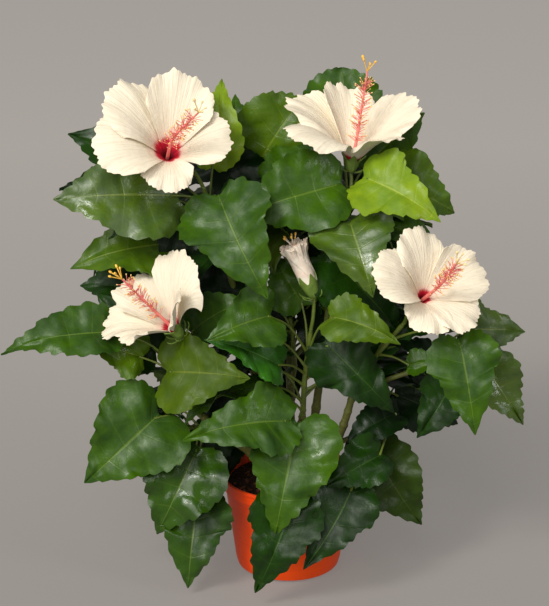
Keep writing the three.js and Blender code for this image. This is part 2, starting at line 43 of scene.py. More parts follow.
# a value in a node tree; arithmetic on it adds Math nodes
class Value:
    def __init__(self, tree, socket=None):
        self.tree = tree
        self.socket = socket

    # any node: settings are set first, then inputs get values or links
    def node(self, kind, settings=None, inputs=None, out=0):
        made = self.tree.nodes.new(kind)
        for key, value in (settings or {}).items():
            setattr(made, key, value)
        for key, value in (inputs or {}).items():
            if isinstance(value, Value):
                self.tree.links.new(value.socket, made.inputs[key])
            else:
                made.inputs[key].default_value = value
        return Value(self.tree, made.outputs[out]) if len(made.outputs) else made

    def other(self, name):
        return Value(self.tree, self.socket.node.outputs[name])

    def maths(self, operation, a, b=0.0, clamp=False):
        return self.node("ShaderNodeMath", {"operation": operation, "use_clamp": clamp}, {0: a, 1: b})

    def __add__(self, b):
        return self.maths("ADD", self, b)

    def __sub__(self, b):
        return self.maths("SUBTRACT", self, b)

    def __mul__(self, b):
        return self.maths("MULTIPLY", self, b)

    def __rsub__(self, b):
        return self.maths("SUBTRACT", b, self)

    def __pow__(self, b):
        return self.maths("POWER", self, b)

    __radd__ = __add__
    __rmul__ = __mul__

    def clamped(self):
        return self.maths("ADD", self, 0.0, clamp=True)

    def absolute(self):
        return self.maths("ABSOLUTE", self)

    def blend(self, a, b):
        return self.node("ShaderNodeMix", {"data_type": "RGBA"}, {0: self, 6: a, 7: b}, out=2)


# screen colour, 0 to 255, to the linear values that nodes take
def tone(r, g, b):
    channels = [c / 255 for c in (r, g, b)]
    return tuple(c / 12.92 if c <= 0.04045 else ((c + 0.055) / 1.055) ** 2.4 for c in channels) + (1.0,)


# a material whose paint function returns what varies over the surface, by socket name
def finish(name, settings, paint):
    material = bpy.data.materials.new(name)
    material.use_nodes = True
    tree = material.node_tree
    shader = tree.nodes["Principled BSDF"]
    for key, value in settings.items():
        shader.inputs[key].default_value = value
    for key, value in paint(Value(tree)).items():
        tree.links.new(value.socket, shader.inputs[key])
    return material


def objectNoise(v, scale, detail=3.0, rough=0.5, stretch=(1, 1, 1)):
    place = v.node("ShaderNodeTexCoord", out="Object")
    if stretch != (1, 1, 1):
        place = v.node("ShaderNodeMapping", None, {"Vector": place, "Scale": stretch})
    return v.node("ShaderNodeTexNoise", None,
                  {"Vector": place, "Scale": scale, "Detail": detail, "Roughness": rough})


def bump(v, height, strength, distance):
    return v.node("ShaderNodeBump", None, {"Height": height, "Strength": strength, "Distance": distance})


# the growing rule; every length in it is in millimetres
clearance = 0.3
petiole = {"foot": 1.5, "tip": 1.0, "bend": 0.55, "lift": 0.1, "end": 0.07, "lowest": 0.08, "below": 0.15,
           "dressed": 0.85, "footSwell": 0.7, "tipSwell": 0.45, "swellReach": 0.1, "sunk": 0.6}
sproutRadius = 2.1
caneFoot = 5.0
caneFlare = {"radius": 7.5, "height": 5}
boughRadius = {"foot": 2.7, "tip": 2.2}
stalkRadius = {"foot": 1.9, "tip": 1.7}
soilTop = 88.0

canes = {
    "cane_centre": {"through": [(4, -4, 89), (9, -9, 125), (13, -16, 160)], "tip": 3.2},
    "cane_left": {"through": [(-14, -6, 89), (-38, -20, 125), (-82, -36, 168)], "tip": 3.0},
    "cane_right": {"through": [(22, -6, 89), (48, -18, 140), (62, -20, 189)], "tip": 3.0},
    "cane_back_left": {"through": [(-12, 14, 89), (-30, 12, 180), (-56, 2, 300)], "tip": 2.8},
    "cane_back_right": {"through": [(18, 14, 89), (27, 4, 165), (42, 6, 300)], "tip": 2.8},
    "cane_back": {"through": [(2, 28, 89), (2, 50, 180), (0, 62, 285)], "tip": 2.8},
}

boughs = {
    "bough_top_centre": {"from": "cane_back_left", "at": 0.72, "through": [(-34, 22, 285), (-30, 24, 320)]},
    "bough_far_right": {"from": "cane_right", "at": 0.9, "through": [(85, -24, 196), (112, -28, 208)]},
    "bough_low_left": {"from": "cane_left", "at": 0.45, "through": [(-58, -22, 138), (-80, -26, 150)]},
    "bough_low_front": {"from": "cane_centre", "at": 0.55, "through": [(4, -24, 140), (0, -36, 156)]},
    "bough_low_right": {"from": "cane_right", "at": 0.4, "through": [(60, -10, 135), (80, -8, 146)]},
    "bough_middle": {"from": "cane_back", "at": 0.42, "through": [(6, 34, 190), (5, 27, 208)]},
    "bough_back_left": {"from": "cane_back", "at": 0.5, "through": [(-35, 66, 215), (-66, 72, 238)]},
    "bough_back_right": {"from": "cane_back", "at": 0.55, "through": [(38, 66, 222), (72, 66, 246)]},
    "bough_back_centre": {"from": "cane_back", "at": 0.8, "through": [(2, 78, 250), (0, 90, 262)]},
    "bough_back_low": {"from": "cane_back", "at": 0.25, "through": [(4, 66, 148), (6, 88, 160)]},
}

# leaves: blade foot x y z, bearing, rise, length, width, lean, green, and what sets it apart;
# "change" is added to the eight numbers once the rule has dealt its leaves
masses = {
    "leaves_top_left": {
        "limb": "cane_back_left", "stem": [(-68, -4, 345), (-77, -10, 377)], "more": 3, "seed": 3,
        "leaves": [
            (-120, 30, 380, 173, 22, 90, 68, 40, "deep",
             {"shape": "heart", "change": (0, 0, -2, 0, 9, 5, 18, 6)}),
            (-135, 15, 362, 180, 5, 80, 52, 30, "night",
             {"shape": "narrow", "change": (0, 0, 6, 0, 6, -3, 4, 0)}),
            (-101, -14, 374, -166, 2, 113, 86, 62, "sheen", {"shape": "broad", "wave": 0.04}),
            (-90, 5, 355, -150, -60, 62, 46, 60, "night", {"shape": "broad"}),
            (-105, 5, 324, -167, -12, 100, 72, 40, "warm", {"shape": "lobed"}),
            (-70, -2, 396, 66, 70, 84, 52, 70, "fresh", {"shape": "narrow", "fold": 0.1}),
            (-64, -38, 382, -49, -54, 104, 80, 85, "mid",
             {"shape": "lobed", "lobes": (1.0, 1.06), "wave": 0.06}),
        ],
        "small": [
            (-64, 16, 306, -95, -74, 62, 50, 80, "night", {"shape": "broad"}),
        ],
    },
    "leaves_top_centre": {
        "limb": "bough_top_centre", "stem": [(-24, 22, 355), (-22, 20, 385)], "more": 4, "seed": 11,
        "leaves": [
            (-48, 50, 396, 100, 72, 58, 44, 70, "mid", {"shape": "lobed"}),
            (-30, 34, 388, 12, 57, 82, 66, 65, "warm",
             {"shape": "blunt", "change": (0, 0, 1, 2, 1, 9, 8, 0)}),
            (-22, 12, 382, -10, 32, 70, 44, 30, "mid", {"shape": "lobed"}),
            (-36, 22, 364, 150, 62, 60, 56, 72, "night", {"shape": "broad"}),
        ],
    },
    "leaves_top_right": {
        "limb": "cane_back_right", "stem": [(52, 2, 345), (56, -2, 376)], "more": 3, "seed": 5,
        "leaves": [
            (48, -18, 387, -168, -17, 102, 80, 62, "mid", {"shape": "broad"}),
            (54, 62, 404, 70, 76, 80, 90, 72, "mid",
             {"shape": "blunt", "wave": 0.07, "change": (-4, 0, 0, 10, 0, 5, -16, 0)}),
            (72, 34, 386, 15, 42, 76, 58, 45, "mid",
             {"shape": "lobed", "change": (-4, 0, 0, 0, -4, 4, 10, 8)}),
            (66, -26, 395, -26, -20, 82, 66, 55, "fresh", {"shape": "lobed", "wave": 0.03}),
            (84, 10, 380, -4, -30, 75, 66, 55, "warm",
             {"shape": "broad", "change": (-1, 0, 3, 0, 8, 2, 4, 0)}),
            (68, -16, 350, -14, -15, 76, 56, 30, "mid", {"shape": "lobed"}),
            (54, -38, 358, -71, -46, 74, 80, 75, "sheen", {"shape": "heart", "wave": 0.06, "arch": 54}),
            (36, -18, 321, 4, -50, 108, 74, 65, "deep", {"shape": "lobed", "wave": 0.08}),
        ],
    },
    "leaves_left": {
        "limb": "cane_left", "stem": [(-98, -42, 196), (-94, -50, 224)], "more": 3, "seed": 7,
        "leaves": [
            (-152, -40, 252, -164, -2, 112, 50, 36, "mid",
             {"shape": "narrow", "change": (0, 0, 0, 0, -3, 0, 6, 6)}),
            (-139, -38, 222, -170, 16, 64, 46, 50, "warm",
             {"shape": "lobed", "change": (4, 0, 4, 0, 6, -10, 0, 12)}),
            (-122, -10, 214, 176, 30, 60, 50, 55, "deep",
             {"shape": "heart", "change": (-2, 0, 8, 0, 14, 18, 10, 10)}),
            (-108, 25, 262, -176, 8, 76, 56, 40, "deep",
             {"shape": "broad", "change": (-4, 0, 2, 0, 2, 10, 18, 10)}),
            (-92, -22, 244, -17, 36, 74, 52, 45, "mid", {"shape": "broad"}),
            (-112, -62, 221, -20, 6, 80, 74, 62, "olive", {"shape": "heart", "wave": 0.025, "fold": 0.08}),
        ],
    },
    "leaves_centre": {
        "limb": "cane_centre", "stem": [(15, -22, 200), (20, -30, 248)], "more": 3, "seed": 13,
        "leaves": [
            (-16, -60, 275, -150, -6, 66, 60, 60, "mid", {"shape": "heart"}),
            (-7, -52, 222, -157, 26, 80, 50, 45, "blue", {"shape": "lobed"}),
            (14, -14, 268, 145, 50, 56, 50, 75, "mid", {"shape": "broad"}),
            (36, -54, 272, -23, -10, 70, 48, 50, "spring", {"shape": "lobed", "wave": 0.03}),
            (30, -32, 238, -12, -36, 94, 64, 62, "deep",
             {"shape": "lobed", "wave": 0.07, "change": (2, 0, 2, -4, -6, 0, 0, 6)}),
        ],
    },
    "leaves_right": {
        "limb": "cane_right", "stem": [(80, -26, 222), (104, -38, 258)], "more": 3, "seed": 17,
        "leaves": [
            (143, -76, 253, -46, -64, 84, 70, 80, "mid",
             {"shape": "lobed", "wave": 0.04, "change": (9, 0, 6, -18, -2, 4, -8, 0)}),
            (100, 8, 172, 0, -28, 72, 58, 50, "night", {"shape": "broad"}),
            (108, -48, 222, -12, 12, 36, 26, 40, "mid", {"shape": "narrow"}),
        ],
    },
    "leaves_far_right": {
        "limb": "bough_far_right", "stem": [(132, -30, 214), (146, -30, 222)], "more": 2, "seed": 19,
        "leaves": [
            (178, -30, 234, -16, -58, 82, 52, 65, "sheen",
             {"shape": "narrow", "change": (-3, 0, -6, -4, 0, 0, 0, 0)}),
            (160, -10, 246, 4, 4, 62, 44, 55, "sheen",
             {"shape": "lobed", "change": (0, 0, -3, 0, -4, 0, 10, 6)}),
            (150, -50, 206, -150, -52, 60, 52, 78, "deep", {"shape": "lobed"}),
        ],
    },
    "leaves_low_left": {
        "limb": "bough_low_left", "stem": [(-94, -36, 156), (-104, -42, 162)], "more": 2, "seed": 23,
        "leaves": [
            (-120, -52, 176, -159, -38, 94, 94, 74, "mid", {"shape": "heart", "wave": 0.05}),
            (-84, -48, 142, -146, -58, 92, 82, 75, "glossy", {"shape": "broad", "wave": 0.06}),
            (-86, -46, 91, -108, -66, 88, 72, 82, "glossy", {"shape": "lobed", "wave": 0.08}),
        ],
        "small": [
            (-60, -4, 140, -168, -38, 58, 46, 62, "deep", {"shape": "broad"}),
            (-76, 2, 186, -60, -52, 54, 44, 76, "night", {"shape": "broad"}),
            (-52, 30, 128, -100, -50, 50, 44, 70, "night", {"shape": "heart"}),
        ],
    },
    "leaves_low_front": {
        "limb": "bough_low_front", "stem": [(-1, -46, 164), (1, -56, 172)], "more": 0, "seed": 29,
        "leaves": [
            (2, -72, 177, -162, 2, 102, 66, 52, "mid", {"shape": "lobed", "wave": 0.06}),
            (8, -68, 174, -122, -62, 108, 84, 85, "mid", {"shape": "heart"}),
            (4, -86, 110, -142, -68, 100, 70, 82, "deep", {"shape": "lobed"}),
        ],
    },
    "leaves_low_right": {
        "limb": "bough_low_right", "stem": [(94, -12, 148), (104, -16, 150)], "more": 2, "seed": 31,
        "leaves": [
            (60, -70, 112, -138, -52, 90, 58, 78, "wax", {"shape": "lobed", "wave": 0.07}),
            (88, -52, 136, -150, -14, 66, 50, 62, "deep", {"shape": "broad"}),
            (86, -16, 128, -26, -56, 88, 68, 75, "dusk",
             {"shape": "broad", "change": (-8, 0, 0, -1, 1, 2, 0, 4)}),
            (104, -24, 166, -157, -20, 62, 40, 40, "night", {"shape": "broad"}),
        ],
    },
    "leaves_middle": {
        "limb": "bough_middle", "stem": [(4, 24, 224), (2, 22, 244)], "more": 4, "seed": 53,
        "leaves": [
            (-28, 44, 264, -90, -84, 92, 68, 82, "night", {"shape": "broad"}),
            (38, 42, 262, -90, -84, 88, 64, 82, "night", {"shape": "broad"}),
        ],
    },
    "leaves_back_top": {
        "limb": "cane_back", "stem": [(-2, 66, 325), (4, 66, 365)], "more": 7, "seed": 37, "leaves": [],
    },
    "leaves_back_left": {
        "limb": "bough_back_left", "stem": [(-90, 78, 256), (-108, 84, 280)], "more": 8, "seed": 41,
        "leaves": [],
    },
    "leaves_back_right": {
        "limb": "bough_back_right", "stem": [(96, 70, 264), (114, 76, 288)], "more": 8, "seed": 43,
        "leaves": [],
    },
    "leaves_back_centre": {
        "limb": "bough_back_centre", "stem": [(-2, 100, 276), (-4, 106, 296)], "more": 7, "seed": 59,
        "leaves": [],
    },
    "leaves_back_low": {
        "limb": "bough_back_low", "stem": [(4, 104, 172), (2, 116, 186)], "more": 7, "seed": 47,
        "leaves": [],
    },
}
# dealt leaves stay inside a round crown and clear of three lanes through it
crown = {"centre": (-14, 36, 255), "radii": (196, 195, 188)}
opening = {"from": (40, -40, 175), "to": (62, 160, 110), "radius": 26}
stemWay = {"from": (8, -70, 165), "to": (16, -64, 250), "radius": 30}
leftWay = {"from": (-134, -60, 206), "to": (-138, 60, 186), "radius": 20}
dealt = {"golden": 137.5, "seedTurn": 47, "triesEach": 30, "lowest": 0.15, "stalk": (26, 72),
         "stalkRise": (-5, 65), "length": (74, 104), "rise": (20, -50), "widthShare": 0.74, "lean": 45,
         "room": 1.5, "front": -400}
# the same rule carried on with smaller leaves, once the large ones have their places
finer = dict(dealt, stalk=(14, 62), length=(40, 74), lowest=0.02, room=0.5, each=11, triesEach=70,
             clearWay=30, front=-46)
shaded = dict(finer, stalk=(6, 40), length=(34, 60), room=0.2, each=5, triesEach=90, clearWay=24)
# each round of the rule starts its count of tries at its own number
rounds = ((dealt, 0), (finer, 1000), (shaded, 9000))

# "petals" of a bloom: turn, lean, share of the length, roll and share of the width, of which the rule
# takes the first three; "tip" shifts the end of the column, "throat" is how far up the red reaches
blooms = {
    "bloom_top_left": {
        "on": "leaves_top_left", "foot": (-111, -20, 406), "bearing": -74, "rise": 46,
        "via": (-90, 2, 396), "seed": 1, "throat": 1.0,
        "petals": [(14, 82, 0.82, 0, 1.3), (82, 76, 1, 0, 1.22), (146, 88, 1.05, 0, 1),
                   (195, 99, 1.02, -6, 1.06), (264, 96, 0.68, 0, 1.22)], "tip": (16, 0, -6), "pale": True},
    "bloom_top_right": {
        "on": "leaves_top_right", "foot": (56, 1, 392), "bearing": 10, "rise": 81,
        "via": (57, -1, 384), "seed": 2, "throat": 0.7,
        "petals": [(24, 54, 1.06, 8, 1.15), (108, 48, 1.06, 0, 1.2), (165, 80, 1.08, -16, 0.9),
                   (216, 112, 1.04, -8, 1), (306, 74, 0.8, 6, 1.1)], "tip": (1, 0, 6)},
    "bloom_left": {
        "on": "leaves_left", "foot": (-97, -60, 254), "bearing": 199, "rise": 50,
        "via": (-88, -56, 240), "seed": 3, "throat": 0.8,
        "petals": [(34, 70, 0.91, 18, 1.02), (112, 68, 0.92, 4, 1.12), (168, 82, 0.92, -8, 0.72),
                   (226, 66, 0.74, -4, 0.55), (325, 60, 0.7, 8, 1)], "tip": (0, 0, -8)},
    "bloom_right": {
        "on": "leaves_right", "foot": (115, -61, 286), "bearing": -58, "rise": 42,
        "via": (108, -48, 272), "seed": 4, "throat": 0.72,
        "petals": [(34, 86, 0.84, 0, 1.2), (112, 90, 0.85, 0, 1.12), (178, 94, 0.9, 0, 1.1),
                   (262, 94, 0.64, 0, 1.25), (323, 88, 0.73, 0, 1.2)], "tip": (-5, 0, -6), "pale": True},
}
bud = {"on": "leaves_centre", "foot": (24, -35, 283), "bearing": 180, "rise": 68, "via": (22, -33, 262)}


# a repeatable number between 0 and 1
def chance(i, seed):
    v = math.sin(i * 12.9898 + seed * 78.233) * 43758.5453
    return v - math.floor(v)


def between(ends, f):
    return ends[0] + (ends[1] - ends[0]) * f


def unit(v):
    return v / np.linalg.norm(v)


def direction(bearing, rise):
    b, r = math.radians(bearing), math.radians(rise)
    return np.array([math.cos(b) * math.cos(r), math.sin(b) * math.cos(r), math.sin(r)])


# a smooth line through points, with the spacing that keeps it from looping
class SmoothLine:
    def __init__(self, points):
        self.points = [np.array(p, float) for p in points]

    def point(self, f):
        last = len(self.points) - 1
        i = min(int(last * f), last - 1)
        w = last * f - i
        p1, p2 = self.points[i], self.points[i + 1]
        p0 = self.points[i - 1] if i > 0 else 2 * p1 - p2
        p3 = self.points[i + 2] if i + 2 <= last else 2 * p2 - p1
        d0, d1, d2 = (math.sqrt(np.linalg.norm(b - a)) for a, b in ((p0, p1), (p1, p2), (p2, p3)))
        t1 = ((p1 - p0) / d0 - (p2 - p0) / (d0 + d1) + (p2 - p1) / d1) * d1
        t2 = ((p2 - p1) / d1 - (p3 - p1) / (d1 + d2) + (p3 - p2) / d2) * d1
        return (p1 + t1 * w + (3 * (p2 - p1) - 2 * t1 - t2) * w * w
                + (2 * (p1 - p2) + t1 + t2) * w ** 3)

    def tangent(self, f):
        return unit(self.point(min(1, f + 1e-4)) - self.point(max(0, f - 1e-4)))

    def sample(self, count):
        return np.array([self.point(i / (count - 1)) for i in range(count)])


# the bare blade that the rule deals
blade = {"arch": 40, "fold": 0.2, "thickness": 1.2, "stations": (-0.05, 0.1, 0.32, 0.64, 1)}


def bladeOutline(s):
    s = np.asarray(s, float)
    shoulder = np.minimum(1, np.maximum(0, s + 0.07) / 0.32) ** 0.6
    return np.maximum(0.02, shoulder * np.maximum(0, 1 - s) ** 1.3 * (1 + 1.9 * s))


def bladeFrame(leaf, facing=-90):
    x, y, z, bearing, rise, length, width, lean = leaf[:8]
    along = direction(bearing, rise)
    toSky = direction(facing, 90 - lean)
    face = unit(toSky - along * toSky.dot(along))
    return {"foot": np.array([x, y, z], float), "along": along, "across": np.cross(along, face),
            "face": face, "length": length, "width": width}


# the bare form that the rule tests: a point at share s of the length and t of the half width
def bladePoint(f, s, t, grow=0.0):
    arch = math.radians(blade["arch"])
    radius = f["length"] / (2 * math.sin(arch / 2))
    turn = arch * (s - 0.5)
    half = f["width"] / 2 * float(bladeOutline(s)) + grow
    out = f["length"] / 2 + radius * math.sin(turn) + grow * (2 * s - 1)
    height = radius * (math.cos(turn) - math.cos(arch / 2)) + blade["fold"] * half * abs(t)
    return f["foot"] + f["along"] * out + f["across"] * half * t + f["face"] * height


def stemRoot(stem, foot):
    steps = 20
    best = min(range(steps + 1), key=lambda i: np.linalg.norm(stem.point(i / steps) - foot)) / steps
    return stem.point(max(petiole["lowest"], best - petiole["below"]))


def petioleLine(f, stem):
    root = stemRoot(stem, f["foot"])
    middle = root + (f["foot"] - root) * petiole["bend"]
    middle[2] += petiole["lift"] * np.linalg.norm(f["foot"] - root)
    return SmoothLine([root, middle, bladePoint(f, petiole["end"], 0)])


# bare solids, tested against each other, show whether a leaf has room
def solidBody(rings, owner=""):
    count = len(rings[0])
    places = np.array(rings).reshape(-1, 3)
    faces = []
    for i in range(len(rings) - 1):
        for j in range(count):
            a, b = i * count + j, i * count + (j + 1) % count
            faces += [(a, b, b + count), (a, b + count, a + count)]
    last = (len(rings) - 1) * count
    faces += [(0, j + 1, j) for j in range(1, count - 1)]
    faces += [(last, last + j, last + j + 1) for j in range(1, count - 1)]
    return {"low": places.min(0), "high": places.max(0), "owner": owner,
            "tree": BVHTree.FromPolygons([Vector(p) for p in places], faces)}


def limbBody(line, foot, tip, sides, steps, owner=""):
    side = np.array([1.0, 0, 0])
    rings = []
    for i in range(steps + 1):
        along = line.tangent(i / steps)
        side = unit(side - along * side.dot(along))
        up = np.cross(along, side)
        radius = foot + (tip - foot) * i / steps
        turns = [2 * math.pi * j / sides for j in range(sides)]
        rings.append([line.point(i / steps) + radius * (side * math.cos(a) + up * math.sin(a))
                      for a in turns])
    return solidBody(rings, owner)


def bladeBody(f, grow):
    half = blade["thickness"] / 2 + grow
    rings = []
    for s in blade["stations"]:
        upper = [bladePoint(f, s, t, grow) + f["face"] * half for t in (-1, 0, 1)]
        rings.append(upper + [p - f["face"] * 2 * half for p in upper[::-1]])
    return solidBody(rings)


def petioleBody(f, stem, grow):
    return limbBody(petioleLine(f, stem), petiole["foot"] + grow, petiole["tip"] + grow, 3, 2)


def meets(a, b):
    if (a["low"] > b["high"]).any() or (b["low"] > a["high"]).any():
        return False
    return bool(a["tree"].overlap(b["tree"]))


def clearOf(p, lane, radius):
    start, end = np.array(lane["from"], float), np.array(lane["to"], float)
    way = end - start
    nearest = start + way * min(1, max(0, (p - start).dot(way) / way.dot(way)))
    return np.linalg.norm(p - nearest) > radius


def insideCrown(p, clearWay):
    spread = (p - np.array(crown["centre"])) / np.array(crown["radii"])
    large = clearWay == opening["radius"]
    free = large or all(clearOf(p, way, way["radius"]) for way in (stemWay, leftWay))
    return spread.dot(spread) < 1 and free and clearOf(p, opening, clearWay)


samplePlaces = ((0, 0), (0.5, 0), (1, 0), (0.3, -1), (0.3, 1), (0.6, -1), (0.6, 1))


def dealtLeaf(k, seed, stem, rule):
    bearing = (seed * rule["seedTurn"] + k * rule["golden"]) % 360
    place = stem.point(between((rule["lowest"], 1), chance(k, seed)))
    stalk = between(rule["stalk"], chance(k, seed + 0.3))
    stalkRise = between(rule["stalkRise"], chance(k, seed + 0.5))
    foot = place + direction(bearing, stalkRise) * stalk
    length = between(rule["length"], chance(k, seed + 0.7))
    rise = between(rule["rise"], chance(k, seed + 0.9))
    return (*foot, bearing, rise, length, rule["widthShare"] * length, rule["lean"])


# leaves dealt round a stem; one that leaves the crown or touches what is there is skipped
def dealLeaves(mass, stem, taken, otherStems, rule, start, wanted):
    found = []
    for k in range(start, start + rule["triesEach"] * wanted):
        if len(found) == wanted:
            break
        leaf = dealtLeaf(k, mass["seed"], stem, rule)
        f = bladeFrame(leaf, leaf[3])
        clearWay = rule.get("clearWay", opening["radius"])
        places = [bladePoint(f, s, t) for s, t in samplePlaces]
        if min(p[1] for p in places) < rule["front"] or not all(insideCrown(p, clearWay) for p in places):
            continue
        bodies = (bladeBody(f, rule["room"]), petioleBody(f, stem, rule["room"]))
        if any(meets(body, other) for body in bodies for other in taken + otherStems):
            continue
        found.append((f, k))
        taken += bodies
    return found


# blooms: petals and column about an axis
petal = {"length": 82, "thickness": 0.5, "halfAngle": 42, "throatLean": 24, "throatRadius": 2.5,
         "corner": 0.14, "footSpread": 1.15, "tipSpread": 0.9, "slant": 3, "rows": 30, "columns": 42}
petalRoom = {"half": 0.6, "shares": (0.03, 0.35, 0.7, 1), "sides": (-1, -0.4, 0.4, 1)}
budRoom = {"heights": (2, 30, 61), "foot": 8, "mouth": 14}
column = {"start": 4, "length": 84}
calyxProfile = ((0, 2.2), (3, 5.5), (8, 7), (15, 6.5), (22, 8))


def bloomFrame(bloom):
    axis = direction(bloom["bearing"], bloom["rise"])
    right = np.array([1.0, 0, 0])
    right = unit(right - axis * right.dot(axis))
    return {"foot": np.array(bloom["foot"], float), "axis": axis, "right": right, "up": np.cross(axis, right)}


# a place in the bloom: turn about the axis, distance out from it, height along it
def inBloom(f, turn, out, height):
    a = np.radians(np.asarray(turn, float))[..., None]
    out, height = np.asarray(out, float)[..., None], np.asarray(height, float)[..., None]
    return f["foot"] + f["axis"] * height + (f["right"] * np.cos(a) + f["up"] * np.sin(a)) * out


def petalPlaces(f, one, s, t, lift=0.0, wide=1.0):
    turn, lean, share = one[:3]
    reach = petal["length"] * share * s * (1 - petal["corner"] * t * t * s)
    first = math.radians(petal["throatLean"])
    bend = (math.radians(lean) - first) / (petal["length"] * share)
    out = petal["throatRadius"] + (math.cos(first) - np.cos(first + bend * reach)) / bend
    height = column["start"] + (np.sin(first + bend * reach) - math.sin(first)) / bend
    spread = petal["halfAngle"] * between((petal["footSpread"], petal["tipSpread"]), s) * wide
    return inBloom(f, turn + t * spread, out, height + lift + petal["slant"] * t * s)


def stalkLine(bloom, stem, f):
    start = stem.point(1) + stem.tangent(1) * clearance
    return SmoothLine([start, start + stem.tangent(1) * 3, bloom["via"], inBloom(f, 0, 0, 2)])


lines, stems = {}, {}
for name, cane in canes.items():
    lines[name] = SmoothLine(cane["through"])
for name, bough in boughs.items():
    lines[name] = SmoothLine([lines[bough["from"]].point(bough["at"]), *bough["through"]])
for name, mass in masses.items():
    limb = lines[mass["limb"]]
    start = limb.point(1) + limb.tangent(1) * clearance
    stems[name] = SmoothLine([start, start + limb.tangent(1) * 4, *mass["stem"]])


def tipRadius(limbName):
    return canes[limbName]["tip"] if limbName in canes else boughRadius["tip"]


taken = []
for bloom in [*blooms.values(), bud]:
    f = bloomFrame(bloom)
    taken.append(limbBody(stalkLine(bloom, stems[bloom["on"]], f), stalkRadius["foot"] + clearance,
                          stalkRadius["tip"] + clearance, 5, 3))
    turns = np.arange(6) * 60
    taken.append(solidBody([inBloom(f, turns, np.full(6, r + clearance), np.full(6, float(h)))
                            for h, r in calyxProfile]))
    for one in bloom.get("petals", []):
        half = petalRoom["half"] + clearance
        rings = []
        for s in petalRoom["shares"]:
            t = np.array(petalRoom["sides"])
            rings.append([*petalPlaces(f, one, s, t, half), *petalPlaces(f, one, s, t, -half)[::-1]])
        taken.append(solidBody(rings))
    if bloom is bud:
        line = SmoothLine([inBloom(f, 0, 0, h) for h in budRoom["heights"]])
        taken.append(limbBody(line, budRoom["foot"], budRoom["mouth"], 8, 2))
for name, line in lines.items():
    foot, tip = (caneFoot, canes[name]["tip"]) if name in canes else (boughRadius["foot"], boughRadius["tip"])
    taken.append(limbBody(line, foot + clearance, tip + clearance, 6, 4))

grown = {}
for name, mass in masses.items():
    grown[name] = []
    for i, leaf in enumerate(mass["leaves"]):
        f = bladeFrame(leaf)
        taken += [bladeBody(f, clearance), petioleBody(f, stems[name], clearance)]
        dressed = np.add(leaf[:8], leaf[9].get("change", np.zeros(8)))
        grown[name].append((bladeFrame(dressed), leaf[8], leaf[9], 7 * i + mass["seed"]))
stemBodies = [limbBody(stems[name], tipRadius(mass["limb"]) + clearance, sproutRadius + clearance, 5, 3, name)
              for name, mass in masses.items()]
greens = ("mid", "deep", "warm", "mid", "deep", "deep", "olive", "mid", "blue", "night")
for rule, start in rounds:
    for name, mass in masses.items():
        if rule is finer:
            for i, leaf in enumerate(mass.get("small", [])):
                f = bladeFrame(leaf)
                taken += [bladeBody(f, clearance), petioleBody(f, stems[name], clearance)]
                grown[name].append((f, leaf[8], leaf[9], 90 + i + mass["seed"]))
        others = [body for body in stemBodies if body["owner"] != name]
        wanted = rule.get("each", mass["more"])
        for f, k in dealLeaves(mass, stems[name], taken, others, rule, start, wanted):
            green = greens[int(chance(k, mass["seed"] + 0.2) * len(greens))]
            # painted shade: leaves of the shaded round, and finer ones in the front half, get the dark greens
            # deep or shadowed
            if rule is shaded or (rule is finer and f["foot"][1] < 0):
                green = "deep" if chance(k, 0.5) < 0.5 else "night"
            grown[name].append((f, green, {}, k + mass["seed"]))
leafCount = sum(len(leaves) for leaves in grown.values())
print("rule has dealt", leafCount, "leaves:", {n[7:]: len(v) for n, v in grown.items()})


# an object in the scene from a mesh
def sceneObject(name, mesh):
    thing = bpy.data.objects.new(name, mesh)
    bpy.context.scene.collection.objects.link(thing)
    return thing


# a mesh object from places in millimetres and faces
def meshObject(name, places, faces, materials, slots=None, uvs=None, sharp=None):
    mesh = bpy.data.meshes.new(name)
    mesh.from_pydata((np.asarray(places) * mm).tolist(), [], [tuple(face) for face in faces])
    for material in materials:
        mesh.materials.append(material)
    if slots is not None:
        mesh.polygons.foreach_set("material_index", np.asarray(slots, np.int32))
    mesh.polygons.foreach_set("use_smooth", np.ones(len(mesh.polygons), bool))
    if uvs is not None:
        layer = mesh.uv_layers.new(name="surfaceUV")
        loops = np.empty(len(mesh.loops), np.int32)
        mesh.loops.foreach_get("vertex_index", loops)
        layer.data.foreach_set("uv", np.asarray(uvs, np.float32)[loops].ravel())
    if sharp:
        mesh.set_sharp_from_angle(angle=math.radians(sharp))
    mesh.validate()
    return sceneObject(name, mesh)


# a grid of places given a thin body: upper skin, lower skin and the edge between
def thinBody(grid, upper, lower):
    rows, columns = grid.shape[:2]
    alongRows = np.gradient(grid, axis=0)
    alongColumns = np.gradient(grid, axis=1)
    normal = np.cross(alongRows, alongColumns)
    normal /= np.maximum(1e-9, np.linalg.norm(normal, axis=2, keepdims=True))
    top = grid + normal * np.asarray(upper)[..., None]
    under = grid - normal * np.asarray(lower)[..., None]
    places = np.concatenate([top.reshape(-1, 3), under.reshape(-1, 3)])
    index = np.arange(rows * columns).reshape(rows, columns)
    a, b, c, d = index[:-1, :-1], index[1:, :-1], index[1:, 1:], index[:-1, 1:]
    upFaces = np.stack([a, b, c, d], -1).reshape(-1, 4)
    downFaces = np.stack([a, d, c, b], -1).reshape(-1, 4) + rows * columns
    rim = np.concatenate([index[0, :-1], index[:-1, -1], index[-1, :0:-1], index[:0:-1, 0]])
    after = np.roll(rim, -1)
    edgeFaces = np.stack([rim, after, after + rows * columns, rim + rows * columns], -1)
    faces = np.concatenate([upFaces, downFaces, edgeFaces])
    return places, faces, (len(upFaces), len(downFaces), len(edgeFaces))


